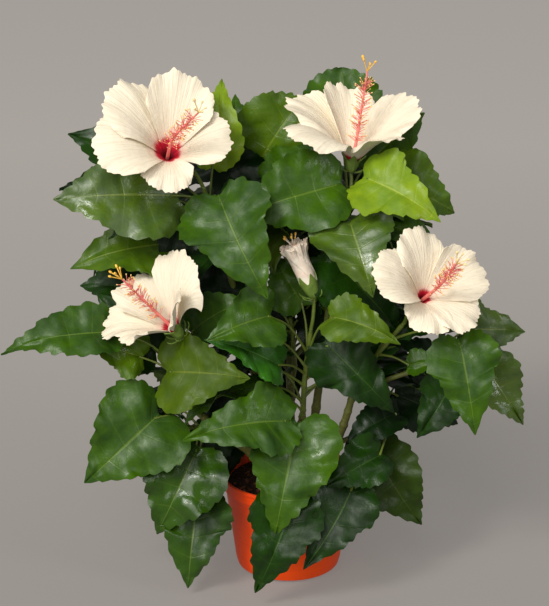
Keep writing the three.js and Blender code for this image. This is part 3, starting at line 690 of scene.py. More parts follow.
# the dressed blade; lengths in millimetres, the rest shares of its length or width
leafForm = {"thickness": 0.5, "wave": 0.05, "foldRound": 3, "largeFrom": 76, "centrePower": 1.3,
            "sidePower": 1.15, "lobes": 0.12, "flutter": 0.018, "flutterRate": 0.43, "droop": (0.05, 0.12),
            "veins": 5.5, "pillow": 0.014, "groove": 0.7, "grooveWidth": 2.4, "bend": 16,
            "large": {"teeth": 12, "perTooth": 5, "halfColumns": 9},
            "small": {"teeth": 9, "perTooth": 4, "halfColumns": 6},
            "rib": {"depth": 1.1, "width": 0.05, "taper": 0.85}}
leafTooth = {"depth": 0.033, "least": 0.45, "more": 0.85, "drift": 0.35, "bareRows": 3, "fadeRows": 6,
             "fullWidth": 0.3, "sidePower": 5, "peak": 0.3, "shoulder": 0.8}
# slow swells of the blade: shortest, longest and height
leafSwells = ((28, 52, 1.7), (22, 40, 1.2), (12, 19, 0.42), (9, 13, 0.26))
# the margin of half a blade, from the foot round to the tip: share of the length, share of the half width
margins = {
    "heart": [(0.02, 0.03), (-0.08, 0.2), (-0.13, 0.48), (-0.06, 0.8), (0.1, 0.99), (0.27, 0.97),
              (0.42, 0.82), (0.56, 0.63), (0.7, 0.44), (0.85, 0.21), (1, 0.01)],
    "lobed": [(0.02, 0.03), (-0.05, 0.24), (-0.06, 0.52), (0.02, 0.8), (0.15, 1.02), (0.29, 1.03),
              (0.38, 0.8), (0.52, 0.68), (0.68, 0.5), (0.85, 0.22), (1, 0.01)],
    "broad": [(0.02, 0.03), (-0.04, 0.28), (-0.03, 0.6), (0.1, 0.88), (0.27, 1.0), (0.44, 0.93),
              (0.58, 0.75), (0.7, 0.55), (0.82, 0.33), (0.92, 0.14), (1, 0.01)],
    "blunt": [(0.02, 0.03), (-0.05, 0.3), (-0.02, 0.64), (0.12, 0.92), (0.3, 1.05), (0.47, 1.06),
              (0.6, 0.96), (0.7, 0.78), (0.77, 0.54), (0.82, 0.27), (0.84, 0.02)],
    "narrow": [(0.02, 0.03), (-0.02, 0.24), (0.02, 0.54), (0.12, 0.84), (0.26, 1.0), (0.41, 0.92),
               (0.55, 0.72), (0.68, 0.5), (0.8, 0.3), (0.91, 0.14), (1, 0.01)],
}
dealtShapes = ("heart", "lobed", "broad", "narrow", "lobed")


# one rounded, forward-leaning tooth for each whole step
def toothShape(step):
    step = step % 1
    peak = leafTooth["peak"]
    fall = ((step - peak) / (1 - peak)) ** leafTooth["shoulder"]
    return np.where(step < peak, 1 - (step / peak) ** 2, fall)


# how far the teeth of each half stand out, in rows from the foot to the tip
def leafTeeth(length, size, seed, left):
    rows = size["teeth"] * size["perTooth"]
    i = np.arange(rows + 1)
    halves = []
    for d in (0.11, 0.17):
        swing = i / rows * (5 + 4 * chance(14, seed + d)) + 6 * chance(13, seed + d)
        step = i / size["perTooth"] + leafTooth["drift"] * np.sin(swing)
        uneven = np.array([chance(int(k), seed + d) for k in np.floor(step)])
        depth = leafTooth["depth"] * length * (leafTooth["least"] + leafTooth["more"] * uneven)
        halves.append(((toothShape(step) - 0.5) * depth)[:, None])
    return np.where(left, *halves)


# the wave of the blade towards its margin, and the lift between side veins
def leafWave(f, ways, seed, i, side, left, centre, perTooth, fade):
    rows = len(i) - 1
    phase = 2 * math.pi * chance(5, seed)
    wave = ways.get("wave", leafForm["wave"]) * (0.6 + 0.8 * chance(6, seed)) * f["width"]
    ripple = np.sin(phase + 2 * math.pi * (2.1 + 1.4 * chance(7, seed)) * i / rows + np.where(left, 0, 1.7))
    height = wave * side ** 2 * ripple * np.sin(math.pi * np.clip(centre * 1.1, 0, 1)) ** 0.5
    rate = 2 * math.pi / perTooth * leafForm["flutterRate"]
    flutter = np.sin(i * rate + np.where(left, phase, 2 * phase))
    height = height + leafForm["flutter"] * f["length"] * side ** 3 * flutter * fade
    pillow = np.abs(np.sin(math.pi * i / rows * leafForm["veins"])) ** 0.7
    pillow = pillow * (0.4 + 0.6 * np.sin(phase + 3 * i / rows))
    return height + leafForm["pillow"] * f["width"] * pillow * np.sin(math.pi * side) ** 0.8


# the dressed blade fills the bare one; its rows run out along the side veins
def leafGrid(f, ways, seed):
    size = leafForm["large" if f["length"] > leafForm["largeFrom"] or "shape" in ways else "small"]
    rows = size["teeth"] * size["perTooth"]
    i = np.arange(rows + 1)[:, None]
    t = np.linspace(-1, 1, 2 * size["halfColumns"] + 1)[None, :]
    side, left = np.abs(t), t < 0
    kind = ways.get("shape", dealtShapes[int(chance(12, seed) * len(dealtShapes))])
    line = SmoothLine([(a, b, 0) for a, b in margins[kind]]).sample(rows + 1)
    onward = np.gradient(line, axis=0) * (f["length"], f["width"] / 2, 1)
    outward = np.stack([-onward[:, 1], onward[:, 0]], -1)
    outward /= np.linalg.norm(outward, axis=1, keepdims=True)
    fade = np.clip((i - leafTooth["bareRows"]) / leafTooth["fadeRows"], 0, 1)
    fade = fade * np.clip(line[:, 1:2] / leafTooth["fullWidth"], 0, 1)
    tooth = leafTeeth(f["length"], size, seed, left) * fade * side ** leafTooth["sidePower"]
    centre = (i / rows) ** leafForm["centrePower"] * line[-1, 0]
    uneven = [1 + leafForm["lobes"] * (chance(k, seed) - 0.5) for k in (1, 2)]
    lobes = ways.get("lobes", uneven)
    share = centre + (line[:, :1] - centre) * side ** leafForm["sidePower"]
    share = share + tooth * outward[:, :1] / f["length"]
    half = line[:, 1:2] * f["width"] / 2 * np.where(left, *lobes)
    sideways = (half + tooth * outward[:, 1:2] / np.maximum(side, 0.1)) * t

    arch = math.radians(ways.get("arch", blade["arch"]))
    radius = f["length"] / (2 * math.sin(arch / 2))
    turn = arch * (share - 0.5)
    out = f["length"] / 2 + radius * np.sin(turn)
    height = radius * (np.cos(turn) - math.cos(arch / 2))
    soft = leafForm["foldRound"]
    height = height + ways.get("fold", blade["fold"]) * (np.sqrt(sideways ** 2 + soft ** 2) - soft)
    height = height + leafWave(f, ways, seed, i, side, left, centre, size["perTooth"], fade)
    droop = between(leafForm["droop"], chance(8, seed))
    height = height - droop * f["length"] * np.clip(share - 0.5, 0, 1) ** 2 * 4
    height = height - leafForm["groove"] * np.exp(-(sideways / leafForm["grooveWidth"]) ** 2) * (1 - centre)
    for k, (shortest, longest, deep) in enumerate(leafSwells):
        way = 2 * math.pi * chance(30 + k, seed)
        across = out * math.cos(way) + sideways * math.sin(way)
        across = across / between((shortest, longest), chance(20 + k, seed)) + chance(40 + k, seed)
        height = height + deep * np.sin(2 * math.pi * across) * np.clip(side * 3, 0, 1)

    bend = math.radians(leafForm["bend"] * (chance(9, seed) - 0.5))
    sideways = sideways + math.sin(bend) * f["length"] * 0.5 * share ** 2
    grid = (f["foot"] + f["along"] * out[..., None] + f["across"] * sideways[..., None]
            + f["face"] * height[..., None])
    uv = np.stack(np.broadcast_arrays(0.5 + 0.5 * t, i / rows * leafForm["veins"] / 10), -1)
    return grid, uv, side, centre


def leafBody(f, ways, seed):
    grid, uv, side, centre = leafGrid(f, ways, seed)
    middle, row = grid.shape[1] // 2, grid.shape[0] // 2
    along, across = grid[row + 1, middle] - grid[row, middle], grid[row, middle + 1] - grid[row, middle]
    if np.cross(along, across).dot(f["face"]) < 0:
        grid, uv = grid[:, ::-1], uv[:, ::-1]
    rib = leafForm["rib"]
    ridge = rib["depth"] * (1 - rib["taper"] * centre) * np.exp(-(side / rib["width"]) ** 2)
    half = leafForm["thickness"] / 2
    places, faces, counts = thinBody(grid, np.full(grid.shape[:2], half), half + ridge)
    return places, faces, counts, np.concatenate([uv.reshape(-1, 2)] * 2)


# what sets one leaf finish apart from another
def leafTones(blade, dark, vein, rough, gloss):
    return {"blade": blade, "dark": dark, "vein": vein, "rough": rough, "gloss": gloss}


leafLook = {
    "mid": leafTones((58, 92, 6), (34, 66, 5), (92, 118, 34), 0.42, 0.32),
    "warm": leafTones((76, 104, 8), (50, 80, 6), (112, 132, 40), 0.42, 0.32),
    "sheen": leafTones((76, 102, 16), (48, 76, 10), (120, 136, 58), 0.38, 0.75),
    "wax": leafTones((24, 54, 3), (11, 34, 3), (60, 88, 28), 0.37, 0.3),
    # deep and shadowed are painted shade: darker greens given to leaves that stand in shadow
    "deep": leafTones((26, 58, 3), (12, 36, 3), (50, 80, 20), 0.4, 0.24),
    "night": leafTones((13, 36, 5), (6, 22, 4), (28, 50, 14), 0.48, 0.2),
    "fresh": leafTones((124, 150, 22), (94, 126, 18), (158, 174, 66), 0.46, 0.3),
    "spring": leafTones((84, 110, 12), (60, 88, 10), (128, 146, 52), 0.44, 0.32),
    "glossy": leafTones((46, 78, 8), (26, 54, 5), (96, 118, 44), 0.36, 0.42),
    "dusk": leafTones((44, 64, 10), (28, 48, 6), (72, 88, 30), 0.5, 0.2),
    "olive": leafTones((72, 94, 4), (52, 76, 4), (104, 118, 34), 0.48, 0.26),
    "blue": leafTones((50, 104, 20), (32, 78, 14), (84, 124, 48), 0.38, 0.3),
    "under": leafTones((84, 108, 38), (60, 88, 26), (116, 134, 64), 0.6, 0.2),
}
# scales of the leaf's noises, how strongly midrib and side veins show, and depth of its relief
leafNoise = {"mottle": 110, "patch": 24, "pucker": 240, "midrib": 0.6, "vein": 0.27, "relief": 0.0016}


def leafPaint(look):
    def paint(v):
        uv = v.node("ShaderNodeUVMap", {"uv_map": "surfaceUV"})
        parts = uv.node("ShaderNodeSeparateXYZ", None, {0: uv})
        side = ((parts - 0.5) * 2).absolute()
        midrib = (1.4 - side * 36).clamped()
        phase = parts.other("Y") * 10
        nearVein = (phase.maths("FRACT", phase) - 0.5).absolute() * 2
        vein = (nearVein * 14 - 12.9).clamped() * (1.05 - side).clamped()
        mottle = objectNoise(v, leafNoise["mottle"], 5.0, 0.6)
        patch = objectNoise(v, leafNoise["patch"], 3.0, 0.55)
        pucker = objectNoise(v, leafNoise["pucker"], 2.0)
        base = ((mottle - 0.42) * 1.6 + (patch - 0.45) * 2.4 + 0.2).clamped()
        colour = base.blend(tone(*look["blade"]), tone(*look["dark"]))
        veined = (midrib * leafNoise["midrib"] + vein * leafNoise["vein"]).clamped()
        colour = veined.blend(colour, tone(*look["vein"]))
        relief = mottle * 0.6 + patch * 2.0 + pucker * 0.16 - midrib * 0.2 - vein * 0.12
        rough = (patch - 0.5) * 1.1 + (mottle - 0.5) * 0.4 + look["rough"]
        return {"Base Color": colour, "Roughness": rough, "Normal": bump(v, relief, 0.7, leafNoise["relief"])}
    return paint


leafFinishes = {}
for green, look in leafLook.items():
    settings = {"Roughness": look["rough"], "Specular IOR Level": look["gloss"]}
    leafFinishes[green] = finish("leaf" + green.capitalize(), settings, leafPaint(look))
leafOrder = list(leafLook)
under = leafOrder.index("under")

for name, leaves in grown.items():
    places, faces, slots, uvs, count = [], [], [], [], 0
    for f, green, ways, seed in leaves:
        p, q, counts, uv = leafBody(f, ways, seed)
        places.append(p)
        faces.append(q + count)
        upper = leafOrder.index(green)
        slots += [upper] * counts[0] + [under] * counts[1] + [upper] * counts[2]
        uvs.append(uv)
        count += len(p)
    piece = meshObject(name.replace("leaves", "foliage"), np.concatenate(places),
                       np.concatenate(faces).tolist(), list(leafFinishes.values()), slots,
                       np.concatenate(uvs), sharp=55)
    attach(piece, "root")
    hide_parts(name)
print("leaves done")


# limbs: a line with a girth at each point is swept into bark by a node tree
def treeStart(name, wanted):
    tree = bpy.data.node_groups.new(name, "GeometryNodeTree")
    kinds = {"float": "NodeSocketFloat", "int": "NodeSocketInt", "material": "NodeSocketMaterial"}
    tree.interface.new_socket("Base", in_out="INPUT", socket_type="NodeSocketGeometry")
    for label, kind in wanted.items():
        tree.interface.new_socket(label, in_out="INPUT", socket_type=kinds[kind])
    tree.interface.new_socket("Mesh", in_out="OUTPUT", socket_type="NodeSocketGeometry")
    return tree, Value(tree).node("NodeGroupInput")


def treeEnd(start, shape, material):
    whole = start.node("GeometryNodeRealizeInstances", None, {"Geometry": shape})
    painted = start.node("GeometryNodeSetMaterial", None, {"Geometry": whole, "Material": material})
    start.node("NodeGroupOutput", None, {"Mesh": painted})


# runs a tree on a mesh and hands back the result as a plain mesh object
def growMesh(name, base, tree, values):
    modifier = base.modifiers.new(tree.name, "NODES")
    modifier.node_group = tree
    for item in tree.interface.items_tree:
        if item.in_out == "INPUT" and item.name in values:
            modifier[item.identifier] = values[item.name]
    bpy.context.view_layer.update()
    result = bpy.data.meshes.new_from_object(base.evaluated_get(bpy.context.evaluated_depsgraph_get()))
    base.modifiers.remove(modifier)
    bpy.data.objects.remove(base)
    result.name = name
    return sceneObject(name, result)


barkTree, start = treeStart("barkSweep", {"Sides": "int", "Relief": "float", "Grain": "float",
                                          "Finish": "material"})
line = start.node("GeometryNodeMeshToCurve", None, {"Mesh": start.other("Base")})
girth = start.node("GeometryNodeInputNamedAttribute", {"data_type": "FLOAT"}, {"Name": "girth"})
ring = start.node("GeometryNodeCurvePrimitiveCircle", None,
                  {"Resolution": start.other("Sides"), "Radius": 1.0})
tube = start.node("GeometryNodeCurveToMesh", None, {"Curve": line, "Profile Curve": ring, "Scale": girth,
                                                    "Fill Caps": True})
grain = start.node("ShaderNodeTexNoise", None, {"Scale": start.other("Grain"), "Detail": 3.0})
normal = start.node("GeometryNodeInputNormal")
push = (grain - 0.5) * start.other("Relief")
offset = start.node("ShaderNodeVectorMath", {"operation": "SCALE"}, {0: normal, "Scale": push})
tube = start.node("GeometryNodeSetPosition", None, {"Geometry": tube, "Offset": offset})
tube = start.node("GeometryNodeSetShadeSmooth", None, {"Geometry": tube})
treeEnd(start, tube, start.other("Finish"))


def lineMesh(name, strands):
    places, edges, girths = [], [], []
    for points, radii in strands:
        first = len(places)
        places += [tuple(p * mm) for p in np.asarray(points, float)]
        girths += [r * mm for r in radii]
        edges += [(first + i, first + i + 1) for i in range(len(points) - 1)]
    mesh = bpy.data.meshes.new(name)
    mesh.from_pydata(places, edges, [])
    mesh.attributes.new("girth", "FLOAT", "POINT").data.foreach_set("value", girths)
    return sceneObject(name, mesh)


barkLook = {"old": (88, 84, 34), "young": (92, 104, 32), "speck": (150, 144, 80), "crack": (56, 54, 26),
            "rough": 0.6, "streaks": 60, "specks": 420, "relief": 0.0008}
twigLook = {"green": (104, 118, 42), "shade": (70, 92, 30), "rough": 0.42, "streaks": 90, "relief": 0.0004}


def barkPaint(v):
    streak = objectNoise(v, barkLook["streaks"], 4.0, 0.6, (1, 1, 0.25))
    speck = objectNoise(v, barkLook["specks"], 2.0)
    height = v.node("ShaderNodeSeparateXYZ", None, {0: v.node("ShaderNodeTexCoord", out="Object")}, out="Z")
    age = (1.35 - height * 5.2 + (streak - 0.5) * 1.2).clamped()
    colour = age.blend(tone(*barkLook["young"]), tone(*barkLook["old"]))
    dots = ((speck - 0.62) * 14).clamped()
    colour = (dots * 0.6).blend(colour, tone(*barkLook["speck"]))
    colour = ((streak - 0.55) * 3).clamped().blend(colour, tone(*barkLook["crack"]))
    return {"Base Color": colour, "Roughness": streak * 0.2 + 0.48,
            "Normal": bump(v, streak * 0.7 + dots * 0.6, 0.7, barkLook["relief"])}


def twigPaint(v):
    streak = objectNoise(v, twigLook["streaks"], 3.0, 0.5)
    colour = ((streak - 0.35) * 2).clamped().blend(tone(*twigLook["green"]), tone(*twigLook["shade"]))
    return {"Base Color": colour, "Normal": bump(v, streak, 0.4, twigLook["relief"])}


barkFinish = finish("bark", {"Roughness": barkLook["rough"]}, barkPaint)
twigFinish = finish("youngTwig", {"Roughness": twigLook["rough"]}, twigPaint)

# steps along each kind of limb, where its joints are and how far they swell
limbForm = {
    "cane": {"steps": 70, "joints": (0.3, 0.47, 0.62, 0.76, 0.88, 0.97), "swell": 0.7},
    "bough": {"steps": 36, "joints": (0.08, 0.55, 0.95), "swell": 0.5},
    "sprout": {"steps": 30, "joints": (0.02, 0.35, 0.6, 0.8, 0.97), "swell": 0.5},
    "stalk": {"steps": 20, "joints": (0.3,), "swell": 0.7},
}
jointReach = 0.018
# sides round a limb, and the depth in metres and scale of its relief
limbSkin = {"cane": (24, 0.0009, 160.0), "bough": (16, 0.0006, 180.0), "twig": (9, 0.00025, 200.0),
            "column": (12, 0.0003, 400.0)}


def limbMesh(name, strands, kind, material):
    sides, relief, grain = limbSkin[kind]
    values = {"Sides": sides, "Relief": relief, "Grain": grain, "Finish": material}
    return growMesh(name, lineMesh(name + "Lines", strands), barkTree, values)


# girth along a limb, with a swelling ring at each joint
def limbGirth(kind, foot, tip):
    form = limbForm[kind]
    share = np.linspace(0, 1, form["steps"])
    girth = foot + (tip - foot) * share
    for joint in form["joints"]:
        girth = girth + form["swell"] * np.exp(-((share - joint) / jointReach) ** 2)
    return girth


strands = []
for name, cane in canes.items():
    points = lines[name].sample(limbForm["cane"]["steps"])
    radii = limbGirth("cane", caneFoot, cane["tip"])
    rise = np.maximum(0, points[:, 2] - soilTop)
    flare = np.exp(-(rise / caneFlare["height"]) ** 2)
    radii = radii + (caneFlare["radius"] - caneFoot) * flare
    points[0, 2] = soilTop + clearance
    strands.append((points, radii))
piece = limbMesh("canes_bark", strands, "cane", barkFinish)
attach(piece, "root")
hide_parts(*canes)

strands = []
for name in boughs:
    radii = limbGirth("bough", boughRadius["foot"], boughRadius["tip"])
    strands.append((lines[name].sample(limbForm["bough"]["steps"]), radii))
piece = limbMesh("boughs_bark", strands, "bough", barkFinish)
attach(piece, "root")
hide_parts(*boughs)

strands = []
for name, mass in masses.items():
    radii = limbGirth("sprout", tipRadius(mass["limb"]), sproutRadius)
    strands.append((stems[name].sample(limbForm["sprout"]["steps"]), radii))
    for f, *_ in grown[name]:
        share = np.linspace(0, 1, 12)
        girth = between((petiole["foot"], petiole["tip"]), share) * petiole["dressed"]
        girth = girth + petiole["footSwell"] * np.exp(-(share / petiole["swellReach"]) ** 2)
        girth = girth + petiole["tipSwell"] * np.exp(-((1 - share) / petiole["swellReach"]) ** 2)
        points = petioleLine(f, stems[name]).sample(12)
        points[-1] -= f["face"] * petiole["sunk"]
        strands.append((points, girth))
for bloom in [*blooms.values(), bud]:
    f = bloomFrame(bloom)
    radii = limbGirth("stalk", stalkRadius["foot"], stalkRadius["tip"])
    strands.append((stalkLine(bloom, stems[bloom["on"]], f).sample(limbForm["stalk"]["steps"]), radii))
piece = limbMesh("twigs", strands, "twig", twigFinish)
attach(piece, "root")
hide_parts(*masses)
print("limbs and twigs done")


# petals
petalLook = {"cream": (238, 227, 203), "shade": (214, 198, 168), "throat": (188, 14, 44),
             "heart": (96, 0, 18), "blush": (226, 96, 108), "rough": 0.62, "gloss": 0.3,
             "rays": (26, 1.2, 1), "soft": 70, "relief": 0.002}


def petalPaint(v):
    uv = v.node("ShaderNodeUVMap", {"uv_map": "surfaceUV"})
    parts = uv.node("ShaderNodeSeparateXYZ", None, {0: uv})
    rows = parts.other("Y")
    stretched = v.node("ShaderNodeMapping", None, {"Vector": uv, "Scale": petalLook["rays"]})
    rays = v.node("ShaderNodeTexNoise", None, {"Vector": stretched, "Scale": 2.4, "Detail": 3.0})
    edge = rows + (rays - 0.5) * 0.16
    throat = ((0.28 - edge) * 22).clamped()
    heart = ((0.2 - edge) * 10).clamped()
    blush = ((0.42 - edge) * 5).clamped() ** 2
    ribs = ((rays - 0.46) * 4).clamped()
    # the darker shade cream along the ribs is painted shade in the petal's folds
    colour = (ribs * 0.55).blend(tone(*petalLook["cream"]), tone(*petalLook["shade"]))
    colour = (blush * 0.45).blend(colour, tone(*petalLook["blush"]))
    colour = throat.blend(colour, tone(*petalLook["throat"]))
    colour = heart.blend(colour, tone(*petalLook["heart"]))
    relief = rays * 0.7 + objectNoise(v, petalLook["soft"], 2.0) * 1.4
    return {"Base Color": colour, "Normal": bump(v, relief, 0.5, petalLook["relief"])}


petalSettings = {"Roughness": petalLook["rough"], "Specular IOR Level": petalLook["gloss"]}
petalFinish = finish("petalCream", petalSettings, petalPaint)


def plainPaint(light, dark, scale, depth):
    def paint(v):
        grain = objectNoise(v, scale, 3.0)
        return {"Base Color": ((grain - 0.35) * 2.2).clamped().blend(tone(*light), tone(*dark)),
                "Normal": bump(v, grain, 0.5, depth)}
    return paint


calyxFinish = finish("calyxGreen", {"Roughness": 0.5},
                     plainPaint((122, 146, 62), (86, 116, 44), 220, 0.0006))
columnFinish = finish("columnPink", {"Roughness": 0.5},
                      plainPaint((238, 140, 128), (224, 96, 98), 160, 0.0005))
antherFinish = finish("antherGold", {"Roughness": 0.7},
                      plainPaint((252, 222, 140), (244, 184, 104), 700, 0.0004))
stigmaFinish = finish("stigmaYellow", {"Roughness": 0.6},
                      plainPaint((250, 206, 84), (232, 160, 50), 500, 0.0004))
paleStigmaFinish = finish("stigmaPale", {"Roughness": 0.6},
                          plainPaint((252, 226, 168), (244, 200, 130), 500, 0.0004))
budFinish = finish("budPetal", {"Roughness": 0.6},
                   plainPaint((252, 242, 224), (244, 216, 194), 110, 0.001))


# waves across a petal: height and rate; those of the fringe are shares of the petal's reach
petalForm = {"ruffle": (2.6, 3.4), "crimp": (1.8, 8.5), "frill": (0.9, 17), "ribs": (0.2, 50),
             "rills": (0.1, 31), "fringe": ((0.011, 52), (0.012, 15), (0.009, 27)), "cup": 4, "spoon": 5,
             "curl": 3.0, "shoulder": 0.02, "corner": 0.23, "tube": 0.45, "tubeLength": 14}


def waveOf(wave, t, phase):
    return wave[0] * np.sin(wave[1] * t + phase)


def petalGrid(f, one, seed):
    form = petalForm
    s = np.linspace(0.0, 1, petal["rows"])[:, None] ** 0.9
    t = np.linspace(-1, 1, petal["columns"] * 2 + 1)[None, :]
    side = np.abs(t)
    a, b, c, d = (2 * math.pi * chance(k, seed) for k in (1, 2, 3, 4))
    ruffle = s ** 2.5 * (waveOf(form["ruffle"], t, a) + waveOf(form["crimp"], t, b) * (0.3 + 0.7 * side)
                         + waveOf(form["frill"], t, c) * s ** 4)
    ribs = waveOf(form["ribs"], t, 1.5 * np.sin(6 * t)) + waveOf(form["rills"], t, b)
    ribs = ribs * s * (1.15 - s)
    cup = form["cup"] * side ** 2 * s * (1 - s)
    cup = cup + form["spoon"] * (chance(5, seed) - 0.3) * side ** 2.5 * s ** 2
    curl = -form["curl"] * s ** 9 * (0.4 + 0.6 * np.sin(5 * t + d) ** 2)
    phases = (2 * np.sin(7 * t + a), c, b)
    fringe = sum(waveOf(wave, t, phase) for wave, phase in zip(form["fringe"], phases))
    rounding = 1 - form["shoulder"] * side ** 2 * s - form["corner"] * side ** 4 * s ** 2.5
    reach = s * (1 + s ** 10 * fringe) * rounding
    share, roll, wide = one[2:]
    tube = 1 - form["tube"] * np.exp(-(reach * share * petal["length"] / form["tubeLength"]) ** 2)
    lift = ruffle + ribs + cup + curl + roll * t * s ** 1.2
    grid = petalPlaces(f, one, reach, t, lift, wide)
    axial = (grid - f["foot"]) @ f["axis"]
    centre = f["foot"] + f["axis"] * axial[..., None]
    grid = centre + (grid - centre) * tube[..., None]
    uv = np.stack(np.broadcast_arrays(0.5 + 0.5 * t, reach / f["throat"]), -1)
    return grid, uv


# threads and their anthers: one at each point, turned to its aim
threadTree, start = treeStart("threadScatter", {"Thread Length": "float", "Thread Radius": "float",
                                                "Anther Radius": "float", "Seed": "int",
                                                "Finish": "material", "Anther Finish": "material"})
aim = start.node("GeometryNodeInputNamedAttribute", {"data_type": "FLOAT_VECTOR"}, {"Name": "aim"})
turn = start.node("FunctionNodeAlignRotationToVector", {"axis": "Z"}, {"Vector": aim})
tip = start.node("ShaderNodeCombineXYZ", None, {"Z": start.other("Thread Length")})
line = start.node("GeometryNodeCurvePrimitiveLine", None, {"Start": (0, 0, 0), "End": tip})
ring = start.node("GeometryNodeCurvePrimitiveCircle", None,
                  {"Resolution": 5, "Radius": start.other("Thread Radius")})
thread = start.node("GeometryNodeCurveToMesh", None,
                    {"Curve": line, "Profile Curve": ring, "Fill Caps": True})
thread = start.node("GeometryNodeSetMaterial", None,
                    {"Geometry": thread, "Material": start.other("Finish")})
ball = start.node("GeometryNodeMeshIcoSphere", None,
                  {"Radius": start.other("Anther Radius"), "Subdivisions": 2})
ball = start.node("GeometryNodeTransform", None,
                  {"Geometry": ball, "Translation": tip, "Scale": (0.9, 0.9, 1.5)})
ball = start.node("GeometryNodeSetMaterial", None,
                  {"Geometry": ball, "Material": start.other("Anther Finish")})
join = start.node("GeometryNodeJoinGeometry")
for part in (thread, ball):
    start.tree.links.new(part.socket, join.socket.node.inputs[0])
size = start.node("FunctionNodeRandomValue", {"data_type": "FLOAT"},
                  {2: 0.75, 3: 1.25, "Seed": start.other("Seed")}, out=1)
placed = start.node("GeometryNodeInstanceOnPoints", None, {"Points": start.other("Base"), "Instance": join,
                    "Rotation": turn, "Scale": size})
whole = start.node("GeometryNodeRealizeInstances", None, {"Geometry": placed})
whole = start.node("GeometryNodeSetShadeSmooth", None, {"Geometry": whole})
start.node("NodeGroupOutput", None, {"Mesh": whole})

# each size: length and radius of a thread, radius of what it carries
stamen = {"threads": 130, "size": (8.5, 0.25, 0.52), "from": 0.32, "to": 0.9, "bow": 4.0, "foot": 1.8,
          "tip": 0.7, "steps": 24, "bowed": 0.6}
stigma = {"count": 5, "size": (11, 0.45, 1.15), "spread": 0.6}
budStigma = {"count": 6, "size": (11, 0.35, 1.0), "spread": 0.5, "height": 52}


def pointMesh(name, places, aims):
    mesh = bpy.data.meshes.new(name)
    mesh.from_pydata([tuple(np.asarray(p) * mm) for p in places], [], [])
    mesh.attributes.new("aim", "FLOAT_VECTOR", "POINT").data.foreach_set("vector", np.asarray(aims).ravel())
    return sceneObject(name, mesh)


def threadMesh(name, places, aims, sizes, seed, stemFinish, ballFinish):
    length, radius, ball = sizes
    values = {"Thread Length": length * mm, "Thread Radius": radius * mm, "Anther Radius": ball * mm,
              "Seed": seed, "Finish": stemFinish, "Anther Finish": ballFinish}
    return growMesh(name, pointMesh(name + "Points", places, aims), threadTree, values)


# stigma pads start together and spread round the axis
def padMesh(name, f, place, form, seed, stemFinish, ballFinish):
    aims = []
    for k in range(form["count"]):
        outward = unit(inBloom(f, 72 * k, 1, 0) - inBloom(f, 0, 0, 0))
        aims.append(outward * form["spread"] + f["axis"])
    return threadMesh(name, [place] * form["count"], aims, form["size"], seed, stemFinish, ballFinish)


# the column bows a little to one side, as it does on a flower that faces out
def columnLine(f):
    top = column["start"] + column["length"]
    lift = np.array([0, 0, 1.0])
    lift = lift - f["axis"] * lift.dot(f["axis"])
    return SmoothLine([inBloom(f, 0, 0, column["start"] - 2),
                       inBloom(f, 0, 0, top * 0.5) - lift * stamen["bow"] * stamen["bowed"],
                       inBloom(f, 0, 0, top) + lift * stamen["bow"] + f["tip"]])


def cupBody(f, count, profile, lobes, seed, flare):
    turns = np.arange(count) * 360 / count
    rings = []
    for height, radius, deep in profile:
        point = 1 - np.abs(((turns / 360 * lobes + seed) % 1) * 2 - 1)
        rise = calyx["lobeRise"] * (point ** 1.4 - 0.45)
        rings.append(inBloom(f, turns, radius + flare * deep * (point - 0.4), height + deep * rise))
    return np.array(rings)


# a calyx profile: height, radius and depth of the lobes
calyx = {"profile": ((0, 2.0, 0), (2, 4.0, 0), (5, 5.4, 0), (9, 6.2, 0), (11.5, 7.0, 0.15), (13.5, 8.2, 0.55),
                     (15, 9.4, 0.9)),
         "budProfile": ((0, 2.0, 0), (2, 4.2, 0), (6, 6.2, 0), (11, 7.4, 0), (16, 8.2, 0.2), (19, 8.6, 1.0),
                        (21, 8.9, 1.6)),
         "sides": 40, "lobes": 5, "lobeRise": 7, "wall": 0.8, "flare": 5.5, "budFlare": 0.6}
bract = {"count": 7, "length": 13, "half": 0.35, "width": 0.85, "foot": 3.2, "out": 0.8, "edge": 0.2,
         "up": 0.6}


def ringFaces(rings, columns):
    index = np.arange(rings * columns).reshape(rings, columns)
    a, b = index[:-1], index[1:]
    return np.stack([a, np.roll(a, -1, 1), np.roll(b, -1, 1), b], -1).reshape(-1, 4)


def bractGrid(f, turn):
    s = np.linspace(0, 1, 8)[:, None]
    t = np.linspace(-1, 1, 5)[None, :]
    wide = bract["width"] * np.sin(math.pi * np.clip(0.2 + 0.8 * s, 0, 1)) ** 0.6
    out = bract["foot"] + bract["out"] * bract["length"] * np.sin(s * 1.5) + bract["edge"] * np.abs(t)
    height = 1.0 + bract["up"] * bract["length"] * s ** 1.7
    return inBloom(f, turn + np.degrees(wide * t / out), out, height)


def addParts(store, places, faces, uv, slot):
    store["faces"] += [[i + store["count"] for i in face] for face in faces]
    store["places"].append(places)
    store["uvs"].append(uv if uv is not None else np.full((len(places), 2), 0.9))
    store["slots"] += [slot] * len(faces)
    store["count"] += len(places)


def newStore():
    return {"places": [], "faces": [], "uvs": [], "slots": [], "count": 0}


# closes both ends of a set of rings
def closedRings(rings, columns):
    last = (rings - 1) * columns
    return (ringFaces(rings, columns).tolist()
            + [list(range(columns - 1, -1, -1)), [last + j for j in range(columns)]])


def calyxParts(store, f, seed, slot, profile, flare):
    sides = calyx["sides"]
    outer = cupBody(f, sides, profile, calyx["lobes"], seed, flare)
    hollow = [(h + 0.4, max(0.4, r - calyx["wall"]), d) for h, r, d in profile]
    inner = cupBody(f, sides, hollow, calyx["lobes"], seed, flare)
    rings = np.concatenate([outer, inner[::-1]])
    addParts(store, rings.reshape(-1, 3), closedRings(len(rings), sides), None, slot)
    for k in range(bract["count"]):
        grid = bractGrid(f, 360 * k / bract["count"] + 20 * chance(k, seed))
        half = np.full(grid.shape[:2], bract["half"])
        places, quads, _ = thinBody(grid, half, half)
        addParts(store, places, quads.tolist(), None, slot)


